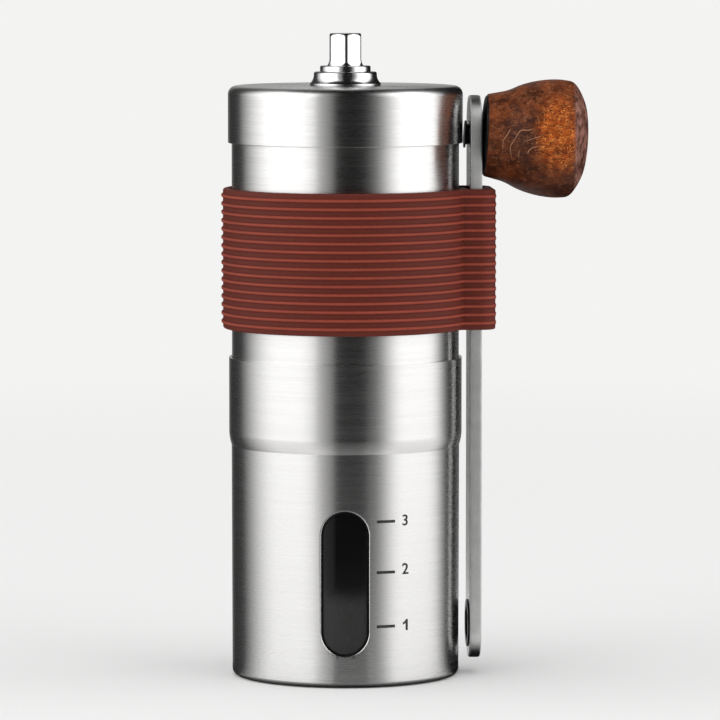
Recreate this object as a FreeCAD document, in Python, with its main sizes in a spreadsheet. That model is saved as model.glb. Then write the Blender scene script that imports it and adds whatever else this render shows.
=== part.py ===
import FreeCAD, Part
import math
import os
import re
import Sketcher

# A slim hand coffee grinder. It stands on the base of its cup, with +Z up and the origin in the middle of
# the base. The front, with the cup's window, faces -Y. The crank is stowed beside the tube, near +X.

# Every driving size, in millimetres, degrees or counts
SIZES = {
    # upper tube
    "tube_diameter": 46.5,
    "tube_wall": 0.5,
    "tube_length": 68.0,
    "fit_gap": 0.05,
    "running_gap": 0.05,
    # cup: a thin steel sleeve, widened at its mouth, and the jar inside it
    "cup_wall": 0.5,
    "cup_floor": 0.6,
    "cup_base_round": 1.2,
    "cup_flare": 0.1,
    "mouth_gap": 0.1,
    "mouth_drop": 0.2,
    "mouth_depth": 15.1,
    "step_rise": 2.9,
    "window_width": 9.8,
    "window_bottom": 6.5,
    "window_length": 29.4,
    "jar_gap": 0.1,
    "jar_height": 49.9,
    "jar_wall": 1.2,
    "jar_floor": 1.6,
    "jar_round": 2.0,
    "jar_foot_round": 1.0,
    "jar_rim_height": 1.0,
    "jar_rim_gap": 0.2,
    # lid and its bushing
    "lid_gap": 0.15,
    "lid_seat_gap": 0.1,
    "lid_wall": 0.6,
    "lid_height": 11.6,
    "lid_round": 1.7,
    "bushing_bore_gap": 0.1,
    "bushing_neck_wall": 1.75,
    "bushing_neck_drop": 1.4,
    "bushing_barrel_wall": 2.7,
    "bushing_barrel_height": 2.0,
    "bushing_foot_overlap": 0.25,
    "bushing_flange_overlap": 0.95,
    "bushing_flange_height": 0.9,
    "bushing_flange_bevel": 0.22,
    "bushing_step_wall": 1.42,
    "bushing_step_height": 1.2,
    "push_nut_overlap": 2.1,
    "push_nut_height": 0.9,
    # shaft
    "shaft_diameter": 7.3,
    "spindle_step": 0.65,
    "spindle_flat_depth": 0.7,
    "spindle_flat_spare": 1.7,
    "shaft_tail": 1.6,
    "shaft_tail_chamfer": 0.5,
    "drive_flat_depth": 0.45,
    "drive_height": 6.6,
    "drive_runout": 2.0,
    "drive_runout_height": 1.3,
    "drive_chamfer_width": 0.5,
    "drive_chamfer_height": 1.0,
    # bearing bridge near the top of the tube
    "bridge_drop": 7.5,
    "bridge_height": 6.0,
    "bridge_rim": 1.5,
    "bridge_arm_width": 3.0,
    "bridge_arm_height": 4.5,
    "bridge_hub_wall": 1.8,
    "bush_wall": 1.5,
    "bush_flange_height": 1.0,
    "bush_flange_overlap": 1.3,
    # burr housing in the lower end of the tube
    "housing_lip": 1.0,
    "housing_skirt": 0.6,
    "burr_recess": 3.8,
    "throat_lip": 0.7,
    "throat_setback": 0.2,
    "funnel_height": 8.0,
    "funnel_rim": 1.1,
    "hub_lift": 3.2,
    "hub_wall": 1.6,
    "hub_height": 6.5,
    "housing_arm_width": 2.6,
    "housing_arm_height": 4.5,
    "thrust_washer_height": 0.8,
    "thrust_washer_inset": 0.3,
    "spring_seat_height": 0.6,
    "spring_seat_overlap": 0.4,
    # burrs
    "burr_step": 3.3,
    "ring_burr_height": 13.0,
    "ring_burr_wall": 2.2,
    "ring_burr_crown": 6.4,
    "burr_slope": 19.5,
    "fine_height": 6.7,
    "grind_gap": 0.3,
    "cone_drop": 0.3,
    "cone_height": 15.0,
    "cone_top_wall": 2.0,
    "cone_web": 1.2,
    "cone_web_gap": 0.4,
    "fine_teeth": 30,
    "fine_tooth_depth": 0.8,
    "fine_tooth_width": 3.2,
    "feed_teeth": 6,
    "ring_feed_depth": 2.2,
    "cone_feed_depth": 1.1,
    "feed_tooth_width": 7.0,
    "tooth_skew": 22.0,
    "retaining_ring_height": 1.5,
    "retaining_ring_setback": 0.4,
    "screw_head_diameter": 3.2,
    "screw_head_height": 1.2,
    "screw_diameter": 2.0,
    "screw_length": 6.5,
    "screw_slot": 0.5,
    "screw_count": 3,
    # carrier, click plate, adjuster and spring around the spindle
    "carrier_hub_wall": 3.85,
    "carrier_hub_height": 6.0,
    "carrier_hub_headroom": 0.3,
    "carrier_flange_overlap": 1.65,
    "carrier_flange_height": 1.8,
    "key_width": 4.0,
    "key_inset": 0.3,
    "key_height": 1.5,
    "key_gap": 0.1,
    "click_plate_height": 0.5,
    "click_plate_inset": 0.3,
    "click_bump_diameter": 1.2,
    "click_bump_height": 0.35,
    "click_bump_inset": 1.4,
    "click_bump_count": 3,
    "click_track_width": 2.0,
    "click_track_depth": 0.6,
    "adjuster_rim": 2.7,
    "adjuster_height": 6.2,
    "adjuster_chamfer": 0.6,
    "adjuster_lobes": 8,
    "lobe_groove_diameter": 5.2,
    "lobe_groove_depth": 1.2,
    "insert_wall": 1.9,
    "spring_wire": 0.8,
    "spring_inner_gap": 0.6,
    "spring_outer_gap": 0.8,
    "spring_turns": 5,
    "spring_end_closing": 0.2,
    # grip band
    "band_start": 19.9,
    "band_to_lid": 9.3,
    "band_thickness": 1.75,
    "band_margin": 1.4,
    "rib_count": 16,
    "rib_rise": 0.38,
    "rib_crest": 0.4,
    "rib_foot": 0.95,
    "rib_sink": 0.1,
    "slot_gap": 0.3,
    "pocket_wall": 2.4,
    "pocket_flank": 3.0,
    "pocket_round": 3.2,
    # crank arm and its drive socket
    "crank_turn": 3.2,
    "arm_standoff": 2.0,
    "arm_thickness": 2.4,
    "arm_width": 12.0,
    "arm_foot": 3.1,
    "arm_edge": 0.25,
    "socket_inset": 7.1,
    "socket_wall": 1.2,
    "socket_boss": 0.3,
    "socket_gap": 0.1,
    "knob_inset": 8.15,
    # knob and its pin
    "knob_over_band": 10.8,
    "knob_droop": 3.0,
    "knob_stand": 0.7,
    "pin_diameter": 4.2,
    "pin_lid_gap": 0.35,
    "pin_head_height": 0.3,
    "pin_head_overlap": 0.7,
    "pin_shoulder_gap": 0.25,
    "pin_shoulder_height": 0.3,
    "pin_shoulder_overlap": 1.5,
    "pin_length": 13.4,
    "pin_tail": 0.8,
    "pin_groove_depth": 0.5,
    "clip_height": 0.6,
    "clip_play": 0.1,
    "clip_overlap": 1.1,
    "clip_mouth": 2.4,
    "knob_cap_height": 0.35,
    "knob_cap_inset": 0.3,
    "knob_bush_wall": 1.55,
    "knob_bush_play": 0.2,
    "knob_end_room": 1.6,
    "knob_base_diameter": 16.8,
    "knob_neck_length": 4.4,
    "knob_neck_flare": 1.0,
    "knob_belly_length": 12.8,
    "knob_belly_swell": 2.48,
    "knob_belly_round": 21.0,
    "knob_rim_height": 0.8,
    "knob_rim_inset": 0.6,
    "knob_rim_round": 1.3,
    "knob_bevel_height": 2.4,
    "knob_bevel_inset": 4.85,
    "knob_bevel_round": 13.0,
    "knob_dome_height": 0.6,
}

doc = FreeCAD.newDocument("HandCoffeeGrinder")
sheet = doc.addObject("Spreadsheet::Sheet", "Sizes")
for row, (size_name, size_value) in enumerate(SIZES.items(), start=1):
    sheet.set(f"A{row}", size_name)
    sheet.set(f"B{row}", str(size_value))
    sheet.setAlias(f"B{row}", size_name)
doc.recompute()

# Radii and heights that several pieces share, as formulas in the names of the sizes
TUBE_OUTSIDE = "(tube_diameter / 2)"
TUBE_INSIDE = f"({TUBE_OUTSIDE} - tube_wall)"
JAR_OUTSIDE = f"({TUBE_OUTSIDE} - cup_wall - jar_gap)"
JAR_INSIDE = f"({JAR_OUTSIDE} - jar_wall)"
MOUTH_INSIDE = f"({TUBE_OUTSIDE} + mouth_gap)"
MOUTH_OUTSIDE = f"({MOUTH_INSIDE} + cup_wall)"
LID_INSIDE = f"({TUBE_OUTSIDE} + lid_gap)"
LID_OUTSIDE = f"({LID_INSIDE} + lid_wall)"
LID_INNER_ROUND = "(lid_round - lid_wall)"
SHAFT_RADIUS = "(shaft_diameter / 2)"
SPINDLE_RADIUS = f"({SHAFT_RADIUS} - spindle_step)"
SPINDLE_FLATS = f"(2 * ({SPINDLE_RADIUS} - spindle_flat_depth))"
SPINDLE_BORE = f"({SPINDLE_RADIUS} + running_gap)"
DRIVE_FLATS = f"(2 * ({SHAFT_RADIUS} - drive_flat_depth))"
BUSHING_BORE = f"({SHAFT_RADIUS} + bushing_bore_gap)"
BUSHING_NECK = f"({BUSHING_BORE} + bushing_neck_wall)"
BUSHING_BARREL = f"({BUSHING_BORE} + bushing_barrel_wall)"
UPPER_BUSH = f"({SHAFT_RADIUS} + running_gap + bush_wall)"
LOWER_BUSH = f"({SPINDLE_BORE} + bush_wall)"
HOUSING_OUTSIDE = f"({TUBE_INSIDE} - fit_gap)"
BURR_RECESS = f"({HOUSING_OUTSIDE} - housing_skirt)"
RING_OUTSIDE = f"({BURR_RECESS} - burr_step)"
RING_MOUTH = f"({RING_OUTSIDE} - ring_burr_wall)"
RING_THROAT = f"({RING_OUTSIDE} - ring_burr_crown)"
SCREW_CIRCLE = f"(({BURR_RECESS} + {RING_OUTSIDE}) / 2)"
SPRING_RADIUS = f"({SPINDLE_RADIUS} + spring_inner_gap + spring_wire / 2)"
SPRING_BORE = f"({SPRING_RADIUS} + spring_wire / 2 + spring_outer_gap)"
CARRIER_HUB = f"({SPINDLE_RADIUS} + carrier_hub_wall)"
CARRIER_FLANGE = f"({CARRIER_HUB} + carrier_flange_overlap)"
CLICK_PLATE = f"({CARRIER_FLANGE} - click_plate_inset)"
CLICK_CIRCLE = f"({CLICK_PLATE} - click_bump_inset)"
INSERT_RADIUS = f"({SPINDLE_RADIUS} + insert_wall)"
ADJUSTER_RADIUS = f"({CLICK_CIRCLE} + click_track_width / 2 + adjuster_rim)"

JAR_TOP = "(cup_floor + jar_height)"
MOUTH_START = f"({JAR_TOP} - mouth_drop)"
STEP_LINE = f"({MOUTH_START} - step_rise)"
CUP_TOP = f"({MOUTH_START} + mouth_depth)"
TUBE_BOTTOM = f"({JAR_TOP} + housing_lip)"
TUBE_TOP = f"({TUBE_BOTTOM} + tube_length)"
# The tube's upper edge stops in the lid's inner round, the seat gap away from it
LID_CEILING = (
    f"({TUBE_TOP} + {LID_INNER_ROUND}"
    f" - sqrt(({LID_INNER_ROUND} - lid_seat_gap) ^ 2 - ({LID_INNER_ROUND} - lid_gap) ^ 2))"
)
LID_TOP = f"({LID_CEILING} + lid_wall)"
LID_RIM = f"({LID_TOP} - lid_height)"
FLANGE_TOP = f"({LID_TOP} + bushing_flange_height)"
BARREL_TOP = f"({FLANGE_TOP} + bushing_barrel_height)"
BUSHING_TOP = f"({BARREL_TOP} + bushing_step_height)"
SHAFT_TOP = f"({BUSHING_TOP} + drive_height)"
BRIDGE_TOP = f"({TUBE_TOP} - bridge_drop)"
BRIDGE_BOTTOM = f"({BRIDGE_TOP} - bridge_height)"

BURR_BOTTOM = f"({JAR_TOP} + burr_recess)"
BURR_TOP = f"({BURR_BOTTOM} + ring_burr_height)"
FINE_TOP = f"({BURR_BOTTOM} + fine_height)"
THROAT_TOP = f"({BURR_TOP} + throat_lip)"
HOUSING_TOP = f"({THROAT_TOP} + funnel_height)"
HUB_BOTTOM = f"({BURR_TOP} + hub_lift)"
HUB_TOP = f"({HUB_BOTTOM} + hub_height)"
SHOULDER = f"({HUB_TOP} + bush_flange_height + thrust_washer_height)"
SPRING_TOP = f"({HUB_BOTTOM} - spring_seat_height)"
RING_BOTTOM = f"({BURR_BOTTOM} - retaining_ring_height)"
CONE_BOTTOM = f"({BURR_BOTTOM} - cone_drop)"
CONE_TOP = f"({CONE_BOTTOM} + cone_height)"
WEB_BOTTOM = f"({CONE_BOTTOM} + carrier_hub_height + carrier_hub_headroom)"
WEB_TOP = f"({WEB_BOTTOM} + cone_web)"
CARRIER_BOTTOM = f"({CONE_BOTTOM} - carrier_flange_height)"
PLATE_BOTTOM = f"({CARRIER_BOTTOM} - click_plate_height)"
ADJUSTER_BOTTOM = f"({PLATE_BOTTOM} - adjuster_height)"
SHAFT_BOTTOM = f"({ADJUSTER_BOTTOM} - shaft_tail)"
FLATS_TOP = f"({CONE_BOTTOM} + carrier_hub_height + spindle_flat_spare)"

BAND_BOTTOM = f"({TUBE_BOTTOM} + band_start)"
BAND_TOP = f"({LID_RIM} - band_to_lid)"
BAND_HEIGHT = f"({BAND_TOP} - {BAND_BOTTOM})"
BAND_OUTSIDE = f"({TUBE_OUTSIDE} + fit_gap + band_thickness)"
ARM_INSIDE = f"({TUBE_OUTSIDE} + arm_standoff)"
ARM_OUTSIDE = f"({ARM_INSIDE} + arm_thickness)"
SOCKET_INSIDE = f"({ARM_INSIDE} - socket_boss)"
SOCKET_RADIUS = f"({SHAFT_RADIUS} + socket_wall)"
SOCKET_HEIGHT = "(arm_foot + socket_inset)"
SLOT_INSIDE = f"({SOCKET_INSIDE} - slot_gap)"
SLOT_OUTSIDE = f"({ARM_OUTSIDE} + slot_gap)"
SLOT_HALF = "(arm_width / 2 + slot_gap)"
KNOB_HEIGHT = f"({BAND_TOP} + knob_over_band)"
ARM_TOP = f"({KNOB_HEIGHT} + knob_inset)"

# Along the knob's axis, measured out from the arm's outer face
PIN_RADIUS = "(pin_diameter / 2)"
PIN_HEAD = f"({LID_OUTSIDE} + pin_lid_gap + pin_head_height - {ARM_OUTSIDE})"
CLIP_START = "(pin_length - pin_tail - clip_height)"
KNOB_BORE = f"({PIN_RADIUS} + knob_bush_wall + running_gap)"
WOOD_START = "(knob_stand + knob_cap_height)"
# The axis leaves the arm's outer face over the pin's hole, turned with the crank and drooping a little
KNOB_PLACE = (
    f"create(<<placement>>; create(<<vector>>; {ARM_OUTSIDE} * cos(crank_turn * 1 deg);"
    f" {ARM_OUTSIDE} * sin(crank_turn * 1 deg); {KNOB_HEIGHT});"
    f" create(<<rotation>>; crank_turn; 90 + knob_droop; 0))"
)


def bound(words):
    """The formula with each size's name pointing at its cell in the sheet."""
    return re.sub(r"[a-z]\w*", lambda found: f"Sizes.{found[0]}" if found[0] in SIZES else found[0], words)


def amount(words):
    """The formula's value with the sizes as they are now."""
    return float(sheet.evalExpression(bound(words)))


def tie(thing, name, words):
    thing.setExpression(name, bound(words))


def origin_of(body, role):
    return next(item for item in body.Origin.OriginFeatures if item.Role == role)


def new_body(label):
    body = doc.addObject("PartDesign::Body", label)
    body.Label = label
    return body


def new_sketch(body, name, plane, lift=None, turn=None):
    """A sketch on one of the body's own planes, lifted off it and turned about its normal."""
    sketch = body.newObject("Sketcher::SketchObject", f"{body.Name}_{name}")
    sketch.AttachmentSupport = (origin_of(body, plane), [""])
    sketch.MapMode = "FlatFace"
    if lift:
        tie(sketch, ".AttachmentOffset.Base.z", lift)
    if turn:
        tie(sketch, ".AttachmentOffset.Rotation.Angle", turn)
    return sketch


def constrain(sketch, words, *rule):
    """Adds a dimension to a sketch and binds it to its formula."""
    number = sketch.addConstraint(Sketcher.Constraint(*rule, amount(words)))
    tie(sketch, f"Constraints[{number}]", words)


def arc_between(start, end, radius):
    """The short arc between two points that swells to the right of the way."""
    chord = end - start
    half = chord.Length / 2
    rise = radius - math.sqrt(radius * radius - half * half)
    right = FreeCAD.Vector(chord.y, -chord.x, 0).normalize()
    return Part.Arc(start, (start + end) / 2 + right * rise, end)


def add_side(sketch, start, end, radius=None):
    """A line, or an arc that swells outwards, or inwards if its radius is negative. Returns its number in the
    sketch and those of its two ends: a sketch holds each arc anticlockwise, so an inward one starts at its end."""
    if radius is None:
        return sketch.addGeometry(Part.LineSegment(start, end), False), 1, 2
    if radius > 0:
        return sketch.addGeometry(arc_between(start, end, radius), False), 1, 2
    return sketch.addGeometry(arc_between(end, start, -radius), False), 2, 1


def draw(sketch, corners, bends=None):
    """A closed outline, anticlockwise through its corners. bends has the radius of the arc after a corner."""
    bends = bends or {}
    spots = [FreeCAD.Vector(amount(across), amount(up), 0) for across, up in corners]
    sides = []
    for number, start in enumerate(spots):
        radius = amount(bends[number]) if number in bends else None
        sides.append(add_side(sketch, start, spots[(number + 1) % len(spots)], radius))
    for number, (side, near, far) in enumerate(sides):
        after, after_near, _ = sides[(number + 1) % len(sides)]
        sketch.addConstraint(Sketcher.Constraint("Coincident", side, far, after, after_near))
        across, up = corners[number]
        constrain(sketch, across, "DistanceX", -1, 1, side, near)
        constrain(sketch, up, "DistanceY", -1, 1, side, near)
    for number, words in bends.items():
        constrain(sketch, words.lstrip("-"), "Radius", sides[number][0])
    return sketch


def draw_circle(sketch, radius, across="0", up="0"):
    centre = FreeCAD.Vector(amount(across), amount(up), 0)
    circle = sketch.addGeometry(Part.Circle(centre, FreeCAD.Vector(0, 0, 1), amount(radius)), False)
    constrain(sketch, across, "DistanceX", -1, 1, circle, 3)
    constrain(sketch, up, "DistanceY", -1, 1, circle, 3)
    constrain(sketch, radius, "Radius", circle)
    return sketch


def rectangle(left, right, low, high):
    return [(left, low), (right, low), (right, high), (left, high)]


def stadium(half, low, high):
    """Upright slot shape between the centres of its two round ends, and its bends."""
    corners = [
        (f"-{half}", low),
        ("0", f"{low} - {half}"),
        (half, low),
        (half, high),
        ("0", f"{high} + {half}"),
        (f"-{half}", high),
    ]
    return corners, {0: half, 1: half, 3: half, 4: half}


def hexagon(flats, centre):
    """Hexagon with two corners straight above and below its centre."""
    reach = f"({flats} / 2 / cos(30 deg))"
    angles = [30 + 60 * side for side in range(6)]
    return [(f"{reach} * cos({angle} deg)", f"{centre} + {reach} * sin({angle} deg)") for angle in angles]


def feature(body, kind, name, sketch):
    added = body.newObject(f"PartDesign::{kind}", f"{body.Name}_{name}")
    added.Profile = sketch
    return added


def turned(label, corners, bends=None):
    """A body turned about Z from an outline of radii and heights."""
    body = new_body(label)
    sketch = draw(new_sketch(body, "outline", "XZ_Plane"), corners, bends)
    turn = feature(body, "Revolution", "turn", sketch)
    turn.ReferenceAxis = (sketch, ["V_Axis"])
    turn.Angle = 360
    return body


def ring(label, bore, outside, bottom, top):
    return turned(label, [(bore, bottom), (outside, bottom), (outside, top), (bore, top)])


def pad(body, name, sketch, length):
    added = feature(body, "Pad", name, sketch)
    tie(added, "Length", length)
    return added


cuts = []


def pocket(body, name, sketch, depth, both_ways=False):
    """A cut along the sketch's normal, or half of it each way."""
    before = body.Tip
    added = feature(body, "Pocket", name, sketch)
    added.Reversed = True
    added.Midplane = both_ways
    tie(added, "Length", depth)
    cuts.append((before, added))
    return added


def around(body, name, originals, count):
    """Copies of features, spread evenly about Z."""
    spread = body.newObject("PartDesign::PolarPattern", f"{body.Name}_{name}")
    spread.Originals = originals
    spread.Axis = (origin_of(body, "Z_Axis"), [""])
    spread.Angle = 360
    tie(spread, "Occurrences", count)
    body.Tip = spread


def cup_sleeve():
    """Drawn steel cup with a widened mouth and a window in front."""
    waist = f"({TUBE_OUTSIDE} + cup_flare)"
    inner_round = "(cup_base_round - cup_wall)"
    # This radius makes the step's arc run straight into the mouth
    swell = f"({MOUTH_OUTSIDE} - {waist})"
    step_round = f"(({swell} ^ 2 + step_rise ^ 2) / 2 / {swell})"
    body = turned(
        "cup_sleeve",
        [
            ("0", "0"),
            (f"{TUBE_OUTSIDE} - cup_base_round", "0"),
            (TUBE_OUTSIDE, "cup_base_round"),
            (waist, STEP_LINE),
            (MOUTH_OUTSIDE, MOUTH_START),
            (MOUTH_OUTSIDE, CUP_TOP),
            (MOUTH_INSIDE, CUP_TOP),
            (MOUTH_INSIDE, MOUTH_START),
            (f"{waist} - cup_wall", STEP_LINE),
            (f"{TUBE_OUTSIDE} - cup_wall", f"cup_floor + {inner_round}"),
            (f"{TUBE_OUTSIDE} - cup_wall - {inner_round}", "cup_floor"),
            ("0", "cup_floor"),
        ],
        {1: "cup_base_round", 3: step_round, 7: f"-{step_round}", 9: f"-{inner_round}"},
    )
    half = "(window_width / 2)"
    window = new_sketch(body, "window", "XZ_Plane")
    draw(window, *stadium(half, f"(window_bottom + {half})", f"(window_bottom + window_length - {half})"))
    pocket(body, "window_cut", window, MOUTH_OUTSIDE)
    return body


def cup_jar():
    """Clear jar that stands in the sleeve. Its rim carries the upper tube."""
    rim = f"({MOUTH_INSIDE} - jar_rim_gap)"
    rim_bottom = f"({JAR_TOP} - jar_rim_height)"
    floor = "(cup_floor + jar_floor)"
    return turned(
        "cup_jar",
        [
            ("0", "cup_floor"),
            (f"{JAR_OUTSIDE} - jar_foot_round", "cup_floor"),
            (JAR_OUTSIDE, "cup_floor + jar_foot_round"),
            (JAR_OUTSIDE, rim_bottom),
            (rim, rim_bottom),
            (rim, JAR_TOP),
            (JAR_INSIDE, JAR_TOP),
            (JAR_INSIDE, f"{floor} + jar_round"),
            (f"{JAR_INSIDE} - jar_round", floor),
            ("0", floor),
        ],
        {1: "jar_foot_round", 7: "-jar_round"},
    )


def lid_shell():
    """Drawn steel lid with a rounded edge and a hole for its bushing."""
    hole = f"({BUSHING_NECK} + fit_gap)"
    return turned(
        "lid_shell",
        [
            (LID_INSIDE, LID_RIM),
            (LID_OUTSIDE, LID_RIM),
            (LID_OUTSIDE, f"{LID_TOP} - lid_round"),
            (f"{LID_OUTSIDE} - lid_round", LID_TOP),
            (hole, LID_TOP),
            (hole, LID_CEILING),
            (f"{LID_INSIDE} - {LID_INNER_ROUND}", LID_CEILING),
            (LID_INSIDE, f"{LID_CEILING} - {LID_INNER_ROUND}"),
        ],
        {2: "lid_round", 6: f"-{LID_INNER_ROUND}"},
    )


def lid_bushing():
    """Stepped bushing around the shaft, with a flared flange on the lid."""
    neck_bottom = f"({LID_CEILING} - bushing_neck_drop)"
    step = f"({BUSHING_BORE} + bushing_step_wall)"
    return turned(
        "lid_bushing",
        [
            (BUSHING_BORE, neck_bottom),
            (BUSHING_NECK, neck_bottom),
            (BUSHING_NECK, LID_TOP),
            (f"{BUSHING_BARREL} + bushing_foot_overlap", LID_TOP),
            (f"{BUSHING_BARREL} + bushing_flange_overlap", f"{FLANGE_TOP} - bushing_flange_bevel"),
            (BUSHING_BARREL, f"{FLANGE_TOP} + bushing_flange_bevel"),
            (BUSHING_BARREL, BARREL_TOP),
            (step, BARREL_TOP),
            (step, BUSHING_TOP),
            (BUSHING_BORE, BUSHING_TOP),
        ],
    )


def drive_shaft():
    """Stepped shaft with two long flats below and a hexagon with milled run-outs on top."""
    body = turned(
        "drive_shaft",
        [
            ("0", SHAFT_BOTTOM),
            (f"{SPINDLE_RADIUS} - shaft_tail_chamfer", SHAFT_BOTTOM),
            (SPINDLE_RADIUS, f"{SHAFT_BOTTOM} + shaft_tail_chamfer"),
            (SPINDLE_RADIUS, SHOULDER),
            (SHAFT_RADIUS, SHOULDER),
            (SHAFT_RADIUS, f"{SHAFT_TOP} - drive_chamfer_height"),
            (f"{SHAFT_RADIUS} - drive_chamfer_width", SHAFT_TOP),
            ("0", SHAFT_TOP),
        ],
    )
    flat = new_sketch(body, "flat", "XY_Plane", lift=SHAFT_BOTTOM)
    draw(flat, rectangle(f"{SPINDLE_FLATS} / 2", "shaft_diameter", "-shaft_diameter", "shaft_diameter"))
    flat_cut = pocket(body, "flat_cut", flat, f"{FLATS_TOP} - {SHAFT_BOTTOM}")
    around(body, "flats", [flat_cut], "2")

    runout_top = f"({BUSHING_TOP} + drive_runout_height)"
    past_top = f"({SHAFT_TOP} + drive_chamfer_height)"
    side = new_sketch(body, "side", "XZ_Plane")
    draw(
        side,
        [
            (f"{DRIVE_FLATS} / 2", runout_top),
            (f"{DRIVE_FLATS} / 2 + drive_runout", f"{runout_top} - drive_runout"),
            (f"{DRIVE_FLATS} / 2 + drive_runout", past_top),
            (f"{DRIVE_FLATS} / 2", past_top),
        ],
        {0: "drive_runout"},
    )
    side_cut = pocket(body, "side_cut", side, "2 * shaft_diameter", both_ways=True)
    around(body, "sides", [side_cut], "6")
    return body


def spider(body, bottom, arm_width, arm_height, reach, hub_radius, hub_height, bore):
    """Three arms from a body's rim to a bored hub."""
    arm = new_sketch(body, "arm", "XY_Plane", lift=bottom)
    draw(arm, rectangle("0", reach, f"-{arm_width} / 2", f"{arm_width} / 2"))
    around(body, "arms", [pad(body, "arm_pad", arm, arm_height)], "3")
    hub = draw_circle(new_sketch(body, "hub", "XY_Plane", lift=bottom), hub_radius)
    pad(body, "hub_pad", hub, hub_height)
    hole = draw_circle(new_sketch(body, "hub_hole", "XY_Plane", lift=bottom), bore)
    pocket(body, "hub_hole_cut", hole, hub_height)
    return body


def bearing_bridge():
    """Ring in the tube with three arms to the hub of the upper bush."""
    body = ring("bearing_bridge", f"{HOUSING_OUTSIDE} - bridge_rim", HOUSING_OUTSIDE, BRIDGE_BOTTOM, BRIDGE_TOP)
    bore = f"({UPPER_BUSH} + running_gap)"
    return spider(
        body,
        BRIDGE_BOTTOM,
        "bridge_arm_width",
        "bridge_arm_height",
        f"{HOUSING_OUTSIDE} - bridge_rim / 2",
        f"{bore} + bridge_hub_wall",
        "bridge_height",
        bore,
    )


def burr_housing():
    """Moulded housing: funnel above, hub on three arms, seat for the ring burr below."""
    lip = f"({TUBE_OUTSIDE} - fit_gap)"
    seat = f"({RING_OUTSIDE} + running_gap)"
    throat = f"({RING_THROAT} + throat_setback)"
    body = turned(
        "burr_housing",
        [
            (BURR_RECESS, JAR_TOP),
            (lip, JAR_TOP),
            (lip, TUBE_BOTTOM),
            (HOUSING_OUTSIDE, TUBE_BOTTOM),
            (HOUSING_OUTSIDE, HOUSING_TOP),
            (f"{HOUSING_OUTSIDE} - funnel_rim", HOUSING_TOP),
            (throat, THROAT_TOP),
            (throat, BURR_TOP),
            (seat, BURR_TOP),
            (seat, BURR_BOTTOM),
            (BURR_RECESS, BURR_BOTTOM),
        ],
    )
    bore = f"({LOWER_BUSH} + running_gap)"
    spider(
        body,
        HUB_BOTTOM,
        "housing_arm_width",
        "housing_arm_height",
        f"{HOUSING_OUTSIDE} - funnel_rim / 2",
        f"{bore} + hub_wall",
        "hub_height",
        bore,
    )
    hole = new_sketch(body, "screw_hole", "XY_Plane", lift=BURR_BOTTOM)
    draw_circle(hole, "screw_diameter / 2 + running_gap", SCREW_CIRCLE)
    around(body, "screw_holes", [pocket(body, "screw_hole_cut", hole, "screw_length")], "screw_count")
    return body


def flanged_bush(label, bore, outside, bottom, top):
    """Bush whose flange lies on top of its seat."""
    flange = f"({outside} + bush_flange_overlap)"
    flange_top = f"({top} + bush_flange_height)"
    return turned(
        label,
        [
            (bore, bottom),
            (outside, bottom),
            (outside, top),
            (flange, top),
            (flange, flange_top),
            (bore, flange_top),
        ],
    )


def cut_teeth(body, name, low, high, count):
    """Skewed tapering grooves all round a burr. Each end is its height, the wall's radius, the groove's depth
    outwards, its width and its turn."""
    before = body.Tip
    sections = []
    for end, (height, radius, depth, width, turn) in (("low", low), ("high", high)):
        section = new_sketch(body, f"{name}_{end}", "XY_Plane", lift=height, turn=turn)
        open_side = f"{radius} - {depth} / 2"
        corners = [(open_side, f"-{width} / 2"), (f"{radius} + {depth}", "0"), (open_side, f"{width} / 2")]
        sections.append(draw(section, corners))
    groove = feature(body, "SubtractiveLoft", f"{name}_groove", sections[0])
    groove.Sections = [(sections[1], [""])]
    groove.Ruled = True
    cuts.append((before, groove))
    around(body, f"{name}_teeth", [groove], count)


def ring_wall(height):
    """Radius of the ring burr's lower cone at a height."""
    return f"({RING_MOUTH} - ({height} - {BURR_BOTTOM}) * tan(burr_slope * 1 deg))"


def cone_wall(height):
    """Radius of the cone burr's lower cone, the grind gap inside the ring burr's."""
    return f"({ring_wall(height)} - grind_gap / cos(burr_slope * 1 deg))"


def ring_burr():
    """Fixed ring burr: fine skewed teeth below, wide feed grooves above."""
    body = turned(
        "ring_burr",
        [
            (RING_MOUTH, BURR_BOTTOM),
            (RING_OUTSIDE, BURR_BOTTOM),
            (RING_OUTSIDE, BURR_TOP),
            (RING_THROAT, BURR_TOP),
            (ring_wall(FINE_TOP), FINE_TOP),
        ],
    )
    below = f"({BURR_BOTTOM} - grind_gap)"
    above = f"({BURR_TOP} + grind_gap)"
    cut_teeth(
        body,
        "fine",
        (below, ring_wall(below), "fine_tooth_depth / 2", "fine_tooth_width / 2", "0"),
        (FINE_TOP, ring_wall(FINE_TOP), "fine_tooth_depth", "fine_tooth_width", "tooth_skew / 2"),
        "fine_teeth",
    )
    cut_teeth(
        body,
        "feed",
        (FINE_TOP, ring_wall(FINE_TOP), "fine_tooth_depth", "fine_tooth_width", "0"),
        (above, RING_THROAT, "ring_feed_depth", "feed_tooth_width", "tooth_skew"),
        "feed_teeth",
    )
    return body


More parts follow.
